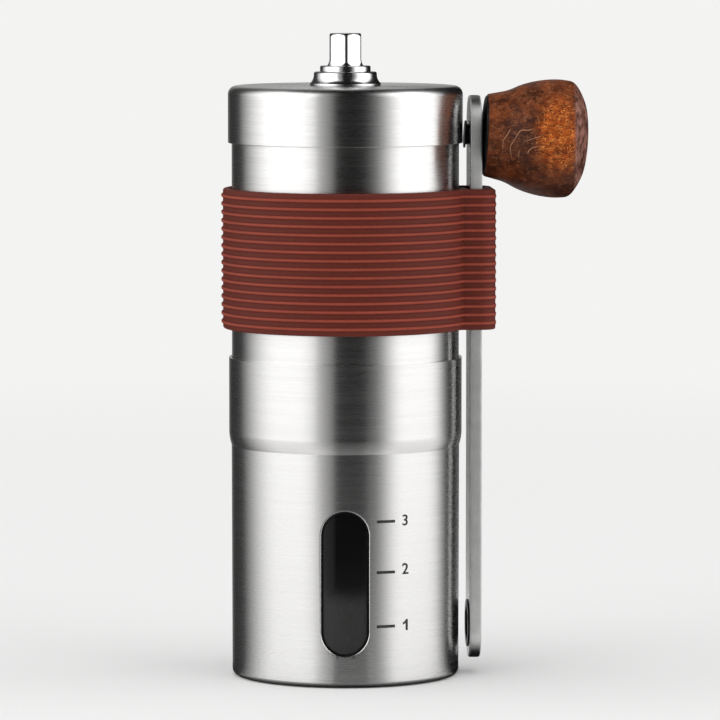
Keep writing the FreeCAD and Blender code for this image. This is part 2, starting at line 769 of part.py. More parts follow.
def cone_burr():
    """Turning cone burr: fine teeth along the ring's, feed grooves on its upper cone, key slot below."""
    bore = f"({CARRIER_HUB} + running_gap)"
    web_bore = f"({SPINDLE_RADIUS} + cone_web_gap)"
    crown = f"({SPRING_BORE} + cone_top_wall)"
    body = turned(
        "cone_burr",
        [
            (bore, CONE_BOTTOM),
            (cone_wall(CONE_BOTTOM), CONE_BOTTOM),
            (cone_wall(FINE_TOP), FINE_TOP),
            (crown, CONE_TOP),
            (SPRING_BORE, CONE_TOP),
            (SPRING_BORE, WEB_TOP),
            (web_bore, WEB_TOP),
            (web_bore, WEB_BOTTOM),
            (bore, WEB_BOTTOM),
        ],
    )
    below = f"({CONE_BOTTOM} - grind_gap)"
    above = f"({CONE_TOP} + grind_gap)"
    cut_teeth(
        body,
        "fine",
        (below, cone_wall(below), "-fine_tooth_depth / 2", "fine_tooth_width / 2", "0"),
        (FINE_TOP, cone_wall(FINE_TOP), "-fine_tooth_depth", "fine_tooth_width", "-tooth_skew / 2"),
        "fine_teeth",
    )
    cut_teeth(
        body,
        "feed",
        (FINE_TOP, cone_wall(FINE_TOP), "-fine_tooth_depth", "fine_tooth_width", "0"),
        (above, crown, "-cone_feed_depth", "feed_tooth_width", "-tooth_skew"),
        "feed_teeth",
    )
    half_length = f"({CARRIER_FLANGE} - key_inset + key_gap)"
    half_width = "(key_width / 2 + key_gap)"
    slot = new_sketch(body, "key_slot", "XY_Plane", lift=CONE_BOTTOM)
    draw(slot, rectangle(f"-{half_length}", half_length, f"-{half_width}", half_width))
    pocket(body, "key_slot_cut", slot, "key_height + key_gap")
    return body


def burr_retaining_ring():
    """Ring that holds the ring burr in its seat, drilled for its screws."""
    bore = f"({RING_MOUTH} + retaining_ring_setback)"
    body = ring("burr_retaining_ring", bore, f"{BURR_RECESS} - running_gap", RING_BOTTOM, BURR_BOTTOM)
    hole = new_sketch(body, "screw_hole", "XY_Plane", lift=RING_BOTTOM)
    draw_circle(hole, "screw_diameter / 2 + running_gap", SCREW_CIRCLE)
    drilled = pocket(body, "screw_hole_cut", hole, "retaining_ring_height")
    around(body, "screw_holes", [drilled], "screw_count")
    return body


def retaining_screws():
    """The retaining ring's slotted screws, as separate solids of one node."""
    body = new_body("retaining_screws")
    body.AllowCompound = True
    head_bottom = f"({RING_BOTTOM} - screw_head_height)"
    head_radius = "(screw_head_diameter / 2)"
    head = draw_circle(new_sketch(body, "head", "XY_Plane", lift=head_bottom), head_radius, SCREW_CIRCLE)
    head_pad = pad(body, "head_pad", head, "screw_head_height")
    shank = new_sketch(body, "shank", "XY_Plane", lift=RING_BOTTOM)
    draw_circle(shank, "screw_diameter / 2", SCREW_CIRCLE)
    shank_pad = pad(body, "shank_pad", shank, "retaining_ring_height + screw_length - running_gap")
    slot = new_sketch(body, "slot", "XY_Plane", lift=head_bottom)
    ends = (f"{SCREW_CIRCLE} - {head_radius}", f"{SCREW_CIRCLE} + {head_radius}")
    draw(slot, rectangle(*ends, "-screw_slot / 2", "screw_slot / 2"))
    slot_cut = pocket(body, "slot_cut", slot, "screw_head_height / 2")
    around(body, "screws", [head_pad, shank_pad, slot_cut], "screw_count")
    return body


def cut_flat_bore(body, bottom, depth):
    """Bore that fits over the spindle and its two flats."""
    half = f"({SPINDLE_FLATS} / 2 + running_gap)"
    rise = f"sqrt({SPINDLE_BORE} ^ 2 - {half} ^ 2)"
    bore = new_sketch(body, "bore", "XY_Plane", lift=bottom)
    draw(bore, [(half, f"-{rise}"), (half, rise), (f"-{half}", rise), (f"-{half}", f"-{rise}")],
         {1: SPINDLE_BORE, 3: SPINDLE_BORE})
    pocket(body, "bore_cut", bore, depth)


def burr_carrier():
    """Keyed hub that turns the cone burr with the spindle."""
    body = new_body("burr_carrier")
    flange = draw_circle(new_sketch(body, "flange", "XY_Plane", lift=CARRIER_BOTTOM), CARRIER_FLANGE)
    pad(body, "flange_pad", flange, "carrier_flange_height")
    hub = draw_circle(new_sketch(body, "hub", "XY_Plane", lift=CARRIER_BOTTOM), CARRIER_HUB)
    pad(body, "hub_pad", hub, "carrier_flange_height + carrier_hub_height")
    key = new_sketch(body, "key", "XY_Plane", lift=CARRIER_BOTTOM)
    half_length = f"({CARRIER_FLANGE} - key_inset)"
    draw(key, rectangle(f"-{half_length}", half_length, "-key_width / 2", "key_width / 2"))
    pad(body, "key_pad", key, "carrier_flange_height + key_height")
    cut_flat_bore(body, CARRIER_BOTTOM, "carrier_flange_height + carrier_hub_height")
    return body


def click_plate():
    """Plate that turns with the spindle, with bumps that reach into the adjuster's track."""
    body = new_body("click_plate")
    disc = draw_circle(new_sketch(body, "disc", "XY_Plane", lift=PLATE_BOTTOM), CLICK_PLATE)
    pad(body, "disc_pad", disc, "click_plate_height")
    bump = new_sketch(body, "bump", "XY_Plane", lift=f"{PLATE_BOTTOM} - click_bump_height")
    draw_circle(bump, "click_bump_diameter / 2", CLICK_CIRCLE)
    bump_pad = pad(body, "bump_pad", bump, "click_bump_height + click_plate_height / 2")
    around(body, "bumps", [bump_pad], "click_bump_count")
    cut_flat_bore(body, PLATE_BOTTOM, "click_plate_height")
    return body


def adjuster_nut():
    """Lobed nut around its insert, with the track of the click bumps on top."""
    bore = f"({INSERT_RADIUS} + running_gap)"
    inner_edge = f"({CLICK_CIRCLE} - click_track_width / 2)"
    outer_edge = f"({CLICK_CIRCLE} + click_track_width / 2)"
    track = f"({PLATE_BOTTOM} - click_track_depth)"
    body = turned(
        "adjuster_nut",
        [
            (bore, ADJUSTER_BOTTOM),
            (f"{ADJUSTER_RADIUS} - adjuster_chamfer", ADJUSTER_BOTTOM),
            (ADJUSTER_RADIUS, f"{ADJUSTER_BOTTOM} + adjuster_chamfer"),
            (ADJUSTER_RADIUS, f"{PLATE_BOTTOM} - adjuster_chamfer"),
            (f"{ADJUSTER_RADIUS} - adjuster_chamfer", PLATE_BOTTOM),
            (outer_edge, PLATE_BOTTOM),
            (outer_edge, track),
            (inner_edge, track),
            (inner_edge, PLATE_BOTTOM),
            (bore, PLATE_BOTTOM),
        ],
    )
    groove = new_sketch(body, "lobe_groove", "XY_Plane", lift=ADJUSTER_BOTTOM)
    groove_radius = "(lobe_groove_diameter / 2)"
    draw_circle(groove, groove_radius, f"{ADJUSTER_RADIUS} + {groove_radius} - lobe_groove_depth")
    around(body, "lobes", [pocket(body, "lobe_groove_cut", groove, "adjuster_height")], "adjuster_lobes")
    return body


def arc_from_tangents(start, corner, end):
    """Arc between two points whose tangents meet at the corner, as far from one as from the other."""
    middle = (start + end) / 2
    half = (start - middle).Length
    radius = (start - corner).Length * half / (corner - middle).Length
    rise = radius - math.sqrt(radius * radius - half * half)
    return Part.Arc(start, middle + (corner - middle).normalize() * rise, end).toShape()


def two_arcs(start, heading, end, arrival):
    """Two arcs that join two points and keep to the directions there."""
    way = end - start
    both = heading + arrival
    spread = 2 * (1 - heading.dot(arrival))
    reach = (math.sqrt(way.dot(both) ** 2 + spread * way.dot(way)) - way.dot(both)) / spread
    first = start + heading * reach
    second = end - arrival * reach
    joint = (first + second) / 2
    return [arc_from_tangents(start, first, joint), arc_from_tangents(joint, second, end)]


def burr_spring():
    """Coil spring between its seat and the web of the cone burr, wound closer at both ends."""
    wire = amount("spring_wire")
    radius = amount(SPRING_RADIUS)
    quarters = int(4 * amount("spring_turns"))
    closing = amount("spring_end_closing")
    low = amount(f"{WEB_TOP} + spring_wire / 2 + running_gap")
    high = amount(f"{SPRING_TOP} - spring_wire / 2 - running_gap")

    def spot(quarter):
        share = quarter / quarters
        eased = share - closing * math.sin(2 * math.pi * share) / (2 * math.pi)
        angle = quarter * math.pi / 2
        return FreeCAD.Vector(radius * math.cos(angle), radius * math.sin(angle), low + (high - low) * eased)

    def heading(quarter):
        step = 0.001
        return (spot(quarter + step) - spot(quarter - step)).normalize()

    edges = []
    for quarter in range(quarters):
        edges += two_arcs(spot(quarter), heading(quarter), spot(quarter + 1), heading(quarter + 1))
    pipe = Part.BRepOffsetAPI.MakePipeShell(Part.Wire(edges))
    pipe.add(Part.Wire(Part.Circle(spot(0), heading(0), wire / 2).toShape()))
    pipe.build()
    pipe.makeSolid()
    spring = doc.addObject("Part::Feature", "burr_spring")
    spring.Shape = pipe.shape()
    spring.Label = "burr_spring"

    per_quarter = 20
    samples = [spot(number / per_quarter) for number in range(per_quarter * quarters + 1)]
    # Points less than three quarters of a turn apart are on one turn
    apart = 3 * per_quarter
    gap = min((one - other).Length for number, one in enumerate(samples) for other in samples[number + apart:])
    print(f"burr_spring: least gap between its turns {gap - wire:.2f} mm")
    return spring


def grip_outline(grow):
    """Plan of the band: round, with a boxy pocket at +X. grow moves it outwards."""
    radius = f"({BAND_OUTSIDE} + {grow})"
    half = f"({SLOT_HALF} + pocket_flank + {grow})"
    face = f"({SLOT_OUTSIDE} + pocket_wall + {grow})"
    corner = f"(pocket_round + {grow})"
    crease = f"sqrt({radius} ^ 2 - {half} ^ 2)"
    corners = [
        (crease, f"-{half}"),
        (f"{face} - {corner}", f"-{half}"),
        (face, f"{corner} - {half}"),
        (face, f"{half} - {corner}"),
        (f"{face} - {corner}", half),
        (crease, half),
        (f"-{radius}", "0"),
    ]
    return corners, {1: corner, 3: corner, 5: radius, 6: radius}


def grip_band():
    """Ribbed band around the tube, with the slot for the stowed crank."""
    body = new_body("grip_band")
    core = draw(new_sketch(body, "core", "XY_Plane", lift=BAND_BOTTOM), *grip_outline("0"))
    pad(body, "core_pad", core, BAND_HEIGHT)
    sections = []
    for name, grow, shift in (
        ("foot_low", "(-rib_sink)", "- rib_foot / 2"),
        ("crest_low", "rib_rise", "- rib_crest / 2"),
        ("crest_high", "rib_rise", "+ rib_crest / 2"),
        ("foot_high", "(-rib_sink)", "+ rib_foot / 2"),
    ):
        section = new_sketch(body, f"rib_{name}", "XY_Plane", lift=f"{BAND_BOTTOM} + band_margin {shift}")
        sections.append(draw(section, *grip_outline(grow)))
    rib = feature(body, "AdditiveLoft", "rib", sections[0])
    rib.Sections = [(section, [""]) for section in sections[1:]]
    rib.Ruled = True
    ribs = body.newObject("PartDesign::LinearPattern", "grip_band_ribs")
    ribs.Originals = [rib]
    ribs.Direction = (origin_of(body, "Z_Axis"), [""])
    tie(ribs, "Length", f"{BAND_HEIGHT} - 2 * band_margin")
    tie(ribs, "Occurrences", "rib_count")
    body.Tip = ribs
    bore = draw_circle(new_sketch(body, "bore", "XY_Plane", lift=BAND_BOTTOM), f"{TUBE_OUTSIDE} + fit_gap")
    pocket(body, "bore_cut", bore, BAND_HEIGHT)
    slot = new_sketch(body, "slot", "XY_Plane", lift=BAND_BOTTOM)
    draw(slot, rectangle(SLOT_INSIDE, SLOT_OUTSIDE, f"-{SLOT_HALF}", SLOT_HALF))
    pocket(body, "slot_cut", slot, BAND_HEIGHT)
    tie(body, ".Placement.Rotation.Angle", "crank_turn")
    return body


def face_edges(shape, radius):
    """Names of the straight edges, and of the arcs of one radius, that lie in the faces across X."""
    names = []
    tolerance = radius / 100
    for number, edge in enumerate(shape.Edges, start=1):
        level = edge.BoundBox.XLength < tolerance
        straight = edge.Curve.TypeId == "Part::GeomLine"
        if level and (straight or abs(edge.Curve.Radius - radius) < tolerance):
            names.append(f"Edge{number}")
    return names


def crank_arm():
    """Flat bar with round ends, a hole for the drive socket and, at the knob's droop, one for its pin."""
    half = "(arm_width / 2)"
    body = new_body("crank_arm")
    plan = new_sketch(body, "plan", "YZ_Plane", lift=ARM_INSIDE)
    draw(plan, *stadium(half, f"(arm_foot + {half})", f"({ARM_TOP} - {half})"))
    pad(body, "plan_pad", plan, "arm_thickness")
    hole = new_sketch(body, "socket_hole", "YZ_Plane", lift=ARM_INSIDE)
    draw_circle(hole, f"{SOCKET_RADIUS} + running_gap", "0", SOCKET_HEIGHT)
    socket_hole = pocket(body, "socket_hole_cut", hole, "arm_thickness")
    doc.recompute()
    edge = body.newObject("PartDesign::Chamfer", "crank_arm_edge")
    edge.Base = (socket_hole, face_edges(socket_hole.Shape, amount(half)))
    tie(edge, "Size", "arm_edge")
    pin_hole = new_sketch(body, "pin_hole", "YZ_Plane")
    pin_hole.AttachmentOffset = FreeCAD.Placement(FreeCAD.Vector(), FreeCAD.Vector(1, 0, 0), 0)
    tie(pin_hole, ".AttachmentOffset.Base.y", KNOB_HEIGHT)
    tie(pin_hole, ".AttachmentOffset.Base.z", ARM_OUTSIDE)
    tie(pin_hole, ".AttachmentOffset.Rotation.Angle", "knob_droop")
    draw_circle(pin_hole, f"{PIN_RADIUS} + running_gap")
    pocket(body, "pin_hole_cut", pin_hole, "4 * arm_thickness", both_ways=True)
    tie(body, ".Placement.Rotation.Angle", "crank_turn")
    return body


def drive_socket():
    """Insert in the crank's lower end, with the hexagonal socket for the shaft's head."""
    body = new_body("drive_socket")
    plan = new_sketch(body, "plan", "YZ_Plane", lift=SOCKET_INSIDE)
    draw_circle(plan, SOCKET_RADIUS, "0", SOCKET_HEIGHT)
    pad(body, "plan_pad", plan, "socket_boss + arm_thickness")
    hole = new_sketch(body, "hole", "YZ_Plane", lift=SOCKET_INSIDE)
    draw(hole, hexagon(f"({DRIVE_FLATS} + 2 * socket_gap)", SOCKET_HEIGHT))
    pocket(body, "hole_cut", hole, "socket_boss + arm_thickness")
    tie(body, ".Placement.Rotation.Angle", "crank_turn")
    return body


def knob_pin():
    """Headed pin through the arm, with a shoulder outside it and a groove for its clip."""
    groove_radius = f"({PIN_RADIUS} - pin_groove_depth)"
    groove_bottom = f"({CLIP_START} - clip_play)"
    groove_top = f"({CLIP_START} + clip_height + clip_play)"
    shoulder = f"({PIN_RADIUS} + pin_shoulder_overlap)"
    head = f"({PIN_RADIUS} + pin_head_overlap)"
    return turned(
        "knob_pin",
        [
            ("0", f"{PIN_HEAD} - pin_head_height"),
            (head, f"{PIN_HEAD} - pin_head_height"),
            (head, PIN_HEAD),
            (PIN_RADIUS, PIN_HEAD),
            (PIN_RADIUS, "pin_shoulder_gap"),
            (shoulder, "pin_shoulder_gap"),
            (shoulder, "pin_shoulder_gap + pin_shoulder_height"),
            (PIN_RADIUS, "pin_shoulder_gap + pin_shoulder_height"),
            (PIN_RADIUS, groove_bottom),
            (groove_radius, groove_bottom),
            (groove_radius, groove_top),
            (PIN_RADIUS, groove_top),
            (PIN_RADIUS, "pin_length"),
            ("0", "pin_length"),
        ],
    )


def pin_clip():
    """Open ring in the pin's groove, pushed on from the side."""
    bore = f"({PIN_RADIUS} - pin_groove_depth + running_gap)"
    body = ring("pin_clip", bore, f"{PIN_RADIUS} + clip_overlap", CLIP_START, f"{CLIP_START} + clip_height")
    mouth = new_sketch(body, "mouth", "XY_Plane", lift=CLIP_START)
    draw(mouth, rectangle("0", "pin_diameter", "-clip_mouth / 2", "clip_mouth / 2"))
    pocket(body, "mouth_cut", mouth, "clip_height")
    return body


def wood_knob():
    """Turned knob: a flared neck, a swelling belly, a bevelled rim and a flat dome, with a blind bore."""
    base = "(knob_base_diameter / 2)"
    neck = f"({base} + knob_neck_flare)"
    brow = f"({neck} + knob_belly_swell)"
    rim = f"({brow} - knob_rim_inset)"
    bevel = f"({rim} - knob_bevel_inset)"
    neck_end = f"({WOOD_START} + knob_neck_length)"
    belly_end = f"({neck_end} + knob_belly_length)"
    rim_end = f"({belly_end} + knob_rim_height)"
    bevel_end = f"({rim_end} + knob_bevel_height)"
    bore_end = "(pin_length + knob_end_room)"
    # This radius makes the dome's arc level on the axis
    dome = f"(({bevel} ^ 2 + knob_dome_height ^ 2) / 2 / knob_dome_height)"
    return turned(
        "wood_knob",
        [
            (KNOB_BORE, WOOD_START),
            (base, WOOD_START),
            (neck, neck_end),
            (brow, belly_end),
            (rim, rim_end),
            (bevel, bevel_end),
            ("0", f"{bevel_end} + knob_dome_height"),
            ("0", bore_end),
            (KNOB_BORE, bore_end),
        ],
        {2: "knob_belly_round", 3: "knob_rim_round", 4: "knob_bevel_round", 5: dome},
    )


# The arm comes first: it alone is recomputed early, for the names of its edges
parts = [
    crank_arm(),
    drive_socket(),
    cup_sleeve(),
    cup_jar(),
    ring("body_tube", TUBE_INSIDE, TUBE_OUTSIDE, TUBE_BOTTOM, TUBE_TOP),
    lid_shell(),
    lid_bushing(),
    ring(
        "lid_push_nut",
        f"{BUSHING_NECK} + fit_gap",
        f"{BUSHING_NECK} + push_nut_overlap",
        f"{LID_CEILING} - push_nut_height",
        LID_CEILING,
    ),
    drive_shaft(),
    bearing_bridge(),
    flanged_bush("upper_bush", f"{SHAFT_RADIUS} + running_gap", UPPER_BUSH, BRIDGE_BOTTOM, BRIDGE_TOP),
    burr_housing(),
    flanged_bush("lower_bush", SPINDLE_BORE, LOWER_BUSH, HUB_BOTTOM, HUB_TOP),
    ring(
        "thrust_washer",
        SPINDLE_BORE,
        f"{LOWER_BUSH} + bush_flange_overlap - thrust_washer_inset",
        f"{HUB_TOP} + bush_flange_height",
        SHOULDER,
    ),
    ring(
        "spring_seat",
        SPINDLE_BORE,
        f"{SPRING_RADIUS} + spring_wire / 2 + spring_seat_overlap",
        SPRING_TOP,
        HUB_BOTTOM,
    ),
    ring_burr(),
    burr_retaining_ring(),
    retaining_screws(),
    cone_burr(),
    burr_carrier(),
    click_plate(),
    adjuster_nut(),
    ring("nut_insert", SPINDLE_BORE, INSERT_RADIUS, ADJUSTER_BOTTOM, PLATE_BOTTOM),
    burr_spring(),
    grip_band(),
]
knob_parts = [
    knob_pin(),
    pin_clip(),
    ring("knob_bush", f"{PIN_RADIUS} + running_gap", f"{KNOB_BORE} - running_gap", "knob_stand",
         f"{CLIP_START} - knob_bush_play"),
    ring("knob_cap", KNOB_BORE, "knob_base_diameter / 2 - knob_cap_inset", "knob_stand", WOOD_START),
    wood_knob(),
]
for part in knob_parts:
    tie(part, "Placement", KNOB_PLACE)
parts += knob_parts
doc.recompute()

for thing in doc.Objects:
    if "Invalid" in thing.State or "Error" in thing.State:
        raise RuntimeError(f"{thing.Label} failed: {thing.State}")
for before, after in cuts:
    if not after.Shape.Volume < before.Shape.Volume:
        raise RuntimeError(f"{after.Label} cuts nothing")
for part in parts:
    if part.Shape.isNull() or not part.Shape.isValid():
        raise RuntimeError(f"{part.Label} has no valid shape")

os.makedirs("parts", exist_ok=True)
for part in parts:
    part.Shape.exportStep(f"parts/{part.Label}.step")
    print(f"{part.Label}: {len(part.Shape.Solids)} solids, {part.Shape.Volume:.1f} mm3")
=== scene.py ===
# %% [markdown]
# The imported model is loaded first, as a fixed frame. Every piece below is made in metres, in the frame's
# own places, so nothing has to be fitted afterwards.

# %% Load the frame
import math

import bmesh
import bpy
from mathutils import Matrix, Vector


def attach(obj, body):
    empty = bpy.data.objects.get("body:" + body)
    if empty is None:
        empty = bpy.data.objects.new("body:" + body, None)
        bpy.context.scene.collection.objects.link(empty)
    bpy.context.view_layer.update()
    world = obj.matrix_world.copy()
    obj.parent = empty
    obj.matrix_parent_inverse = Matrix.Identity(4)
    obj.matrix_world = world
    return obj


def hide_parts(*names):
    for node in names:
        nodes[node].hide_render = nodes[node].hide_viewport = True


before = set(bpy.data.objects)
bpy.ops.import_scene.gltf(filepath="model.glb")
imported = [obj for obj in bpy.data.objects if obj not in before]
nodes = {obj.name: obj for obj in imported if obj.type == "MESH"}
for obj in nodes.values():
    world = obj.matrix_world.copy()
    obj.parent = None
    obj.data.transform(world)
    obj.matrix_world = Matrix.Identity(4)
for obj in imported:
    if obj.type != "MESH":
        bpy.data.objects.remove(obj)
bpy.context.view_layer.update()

scene = bpy.context.scene
MM = 0.001

# %% [markdown]
# The camera stands in front of the cup's window and looks down a little. It could stand close with a wide
# lens, but the photograph shows hardly any perspective: the rings of lid, band and cup curve by the same
# small amount. So a long lens is used from over a metre away.

# %% Camera
AIM = Vector((3.0 * MM, 0.0, 64.65 * MM))
CAMERA_DISTANCE = 1.1056
LOOK_DOWN = math.radians(4.8)


def put(name, data):
    """A new object in the scene."""
    thing = bpy.data.objects.new(name, data)
    scene.collection.objects.link(thing)
    return thing


camera = put("camera", bpy.data.cameras.new("camera"))
camera.data.sensor_width = 36.0
camera.data.lens = 269.5
camera.data.clip_start = 0.02
camera.data.clip_end = 60.0
camera.location = AIM + CAMERA_DISTANCE * Vector((0.0, -math.cos(LOOK_DOWN), math.sin(LOOK_DOWN)))
camera.rotation_euler = (math.pi / 2 - LOOK_DOWN, 0.0, 0.0)
scene.camera = camera
print("camera at", tuple(round(v, 4) for v in camera.location))


# %% [markdown]
# Materials are node trees. Small helpers keep them readable: one starts a material with its main shader,
# one adds a node and links what is a socket, and the rest are short names for what is used often. All is
# placed by Object coordinates, the frame's own metres, so a pattern has its real size on every piece.

# %% Helpers for materials
def new_finish(name, **values):
    """A material whose main shader has these values on its own sockets."""
    finish = bpy.data.materials.new(name)
    finish.use_nodes = True
    shader = finish.node_tree.nodes["Principled BSDF"]
    for socket, value in values.items():
        shader.inputs[socket.replace("_", " ")].default_value = value
    return finish, finish.node_tree, shader


def add(tree, kind, inputs=None, **settings):
    """A new node. inputs maps a socket's name or number to a value, or to the socket that feeds it."""
    node = tree.nodes.new(kind)
    for name, value in settings.items():
        setattr(node, name, value)
    for socket, value in (inputs or {}).items():
        if isinstance(value, bpy.types.NodeSocket):
            tree.links.new(value, node.inputs[socket])
        else:
            node.inputs[socket].default_value = value
    return node


def feed(tree, shader, **sockets):
    """Links what is worked out to the shader's own sockets, by their names."""
    for name, socket in sockets.items():
        tree.links.new(socket, shader.inputs[name.replace("_", " ")])


def maths(tree, operation, first, second=0.0):
    return add(tree, "ShaderNodeMath", {0: first, 1: second}, operation=operation).outputs[0]


def times(tree, *factors):
    """The product of numbers and sockets."""
    product = factors[0]
    for factor in factors[1:]:
        product = maths(tree, "MULTIPLY", product, factor)
    return product


def vectors(tree, operation, first, second=(0.0, 0.0, 0.0)):
    return add(tree, "ShaderNodeVectorMath", {0: first, 1: second}, operation=operation).outputs[0]


def length_of(tree, vector):
    return add(tree, "ShaderNodeVectorMath", {0: vector}, operation="LENGTH").outputs["Value"]


def part_of(tree, vector, axis):
    return add(tree, "ShaderNodeSeparateXYZ", {0: vector}).outputs[axis]


def rescale(tree, value, low, high, new_low, new_high, way="LINEAR"):
    """The value, with low to high stretched to new_low to new_high and clamped there."""
    limits = {0: value, 1: low, 2: high, 3: new_low, 4: new_high}
    return add(tree, "ShaderNodeMapRange", limits, interpolation_type=way).outputs[0]


def blend(tree, share, first, second):
    """The colour between two colours, or two colour sockets, at a share."""
    first, second = ((*colour, 1.0) if isinstance(colour, tuple) else colour for colour in (first, second))
    return add(tree, "ShaderNodeMix", {0: share, 6: first, 7: second}, data_type="RGBA").outputs[2]


def places(tree, size, centre=(0.0, 0.0, 0.0), turn=(0.0, 0.0, 0.0)):
    """Object coordinates from a centre, turned, and counted in steps of these sizes. All in millimetres."""
    values = {
        "Vector": add(tree, "ShaderNodeTexCoord").outputs["Object"],
        "Location": [value * MM for value in centre],
        "Rotation": turn,
        "Scale": [value * MM for value in size],
    }
    return add(tree, "ShaderNodeMapping", values, vector_type="TEXTURE").outputs[0]


def noise(tree, where, scale=1.0, detail=2.0, roughness=0.5, warp=0.0):
    values = {"Vector": where, "Scale": scale, "Detail": detail, "Roughness": roughness, "Distortion": warp}
    return add(tree, "ShaderNodeTexNoise", values).outputs[0]


def bump(tree, shader, height, depth):
    """Raises the surface by height times depth, in metres."""
    node = add(tree, "ShaderNodeBump", {"Height": height, "Distance": depth, "Strength": 1.0})
    feed(tree, shader, Normal=node.outputs[0])


# %% [markdown]
# The drawn steel is brushed round the tube's axis: fine lines run level round the walls and in rings on
# the lid, and stretch every highlight across themselves. Painted streaks alone would not do that, so the
# shader is anisotropic: its tangent runs round the axis, turned a quarter so that the blur is widest up and
# down. The streaks are noise squeezed along one direction: height on the walls, distance from the axis on
# top. Chrome on turned parts has the same lines, but finer and fainter.

# %% Brushed steel
def streaks(tree, length, width):
    """Noise in lines round the axis, about this long and wide in metres, on walls and on level tops."""
    own = add(tree, "ShaderNodeTexCoord").outputs["Object"]
    flat = vectors(tree, "MULTIPLY", own, (1.0, 1.0, 0.0))
    across = maths(tree, "SUBTRACT", part_of(tree, own, "Z"), length_of(tree, flat))
    lift = add(tree, "ShaderNodeCombineXYZ", {"Z": across}).outputs[0]
    spread = vectors(tree, "MULTIPLY", lift, (0.0, 0.0, 1.0 / width))
    round_part = vectors(tree, "MULTIPLY", flat, (1.0 / length,) * 3)
    return noise(tree, vectors(tree, "ADD", round_part, spread), detail=3.0, roughness=0.6)


def run_round_axis(tree, shader):
    """Points the shader's tangent round the tube's axis."""
    own = add(tree, "ShaderNodeTexCoord").outputs["Object"]
    across = vectors(tree, "CROSS_PRODUCT", (0.0, 0.0, 1.0), own)
    spaces = {"vector_type": "VECTOR", "convert_from": "OBJECT", "convert_to": "WORLD"}
    turned = add(tree, "ShaderNodeVectorTransform", {0: across}, **spaces).outputs[0]
    feed(tree, shader, Tangent=vectors(tree, "NORMALIZE", turned))


def brushed(name, dark, light, blur, stretch, line=0.00014):
    """Steel or chrome with fine lines round the axis. line is their width in metres."""
    finish, tree, shader = new_finish(name, Metallic=1.0, Anisotropic=stretch, Anisotropic_Rotation=0.25)
    run_round_axis(tree, shader)
    fine = streaks(tree, 0.02, line)
    both = maths(tree, "ADD", fine, streaks(tree, 0.06, line * 6))
    share = rescale(tree, both, 0.75, 1.25, 0.0, 1.0)
    gloss = rescale(tree, both, 0.75, 1.25, blur * 1.12, blur * 0.9)
    feed(tree, shader, Base_Color=blend(tree, share, dark, light), Roughness=gloss)
    bump(tree, shader, fine, 0.0000011)
    return finish


brushed_steel = brushed("brushed_steel", (0.73, 0.727, 0.722), (0.79, 0.787, 0.782), 0.27, 0.84)
chrome = brushed("chrome", (0.76, 0.76, 0.765), (0.82, 0.82, 0.825), 0.17, 0.4, 0.00008)
print("nodes in brushed_steel:", len(brushed_steel.node_tree.nodes))

# %% [markdown]
# The other metals share one recipe: a metal whose colour and gloss waver a little with noise, and fine
# tool marks in the bump. They differ in colour, in gloss, and in the way the marks run: round the axis on
# what was turned, and without direction on what was tumbled, rubbed or blackened.

# %% Other metals
def metal(name, dark, light, gloss_low, gloss_high, turned_marks=True, depth=0.000002, grain=0.25, **values):
    """A metal between two colours and two roughnesses, with marks of a depth in metres."""
    finish, tree, shader = new_finish(name, Metallic=1.0, **values)
    if turned_marks:
        marks = streaks(tree, 0.004, 0.0004 * grain)
    else:
        marks = noise(tree, places(tree, (grain,) * 3), detail=4.0, roughness=0.65)
    both = maths(tree, "ADD", marks, noise(tree, places(tree, (3.0,) * 3)))
    share = rescale(tree, both, 0.75, 1.25, 0.0, 1.0)
    gloss = rescale(tree, both, 0.75, 1.25, gloss_high, gloss_low)
    feed(tree, shader, Base_Color=blend(tree, share, dark, light), Roughness=gloss)
    bump(tree, shader, marks, depth)
    return finish


polished_steel = metal("polished_steel", (0.70, 0.70, 0.69), (0.80, 0.80, 0.79), 0.10, 0.17)
dark_steel = metal("dark_steel", (0.018, 0.018, 0.019), (0.035, 0.034, 0.034), 0.32, 0.45, False, 0.000004, 0.2)
brass = metal("brass", (0.62, 0.42, 0.17), (0.78, 0.57, 0.27), 0.18, 0.32)
print("other metals:", [finish.name for finish in (polished_steel, dark_steel, brass)])

# %% [markdown]
# The crank's arm is flat bar that is brushed along its length, so its highlights are drawn out sideways:
# its tangent simply points up. The inner side, which faces the tube, was only rolled and is smoother: with
# the same wide blur, it would smear the bright studio into a pale strip beside the arm's mirror image in
# the tube. The side is told by its distance from the axis.

# %% Arm steel
ARM_INSIDE = 25.25
CRANK_TURN = math.radians(3.2)
ROLLED_SIDE = 0.4

satin_steel = metal(
    "satin_steel", (0.74, 0.74, 0.735), (0.86, 0.86, 0.855), 0.46, 0.54, False, 0.000006, 0.2,
    Anisotropic=0.9, Anisotropic_Rotation=0.25,
)
tree = satin_steel.node_tree
shader = tree.nodes["Principled BSDF"]
across = part_of(tree, places(tree, (1.0, 1.0, 1.0), turn=(0.0, 0.0, CRANK_TURN)), "X")
side = rescale(tree, across, ARM_INSIDE + 0.02, ARM_INSIDE + 0.12, ROLLED_SIDE, 1.0)
gloss = times(tree, shader.inputs["Roughness"].links[0].from_socket, side)
upright = add(tree, "ShaderNodeCombineXYZ", {"Z": 1.0}).outputs[0]
feed(tree, shader, Tangent=upright, Roughness=gloss)
print("nodes in satin_steel:", len(tree.nodes))
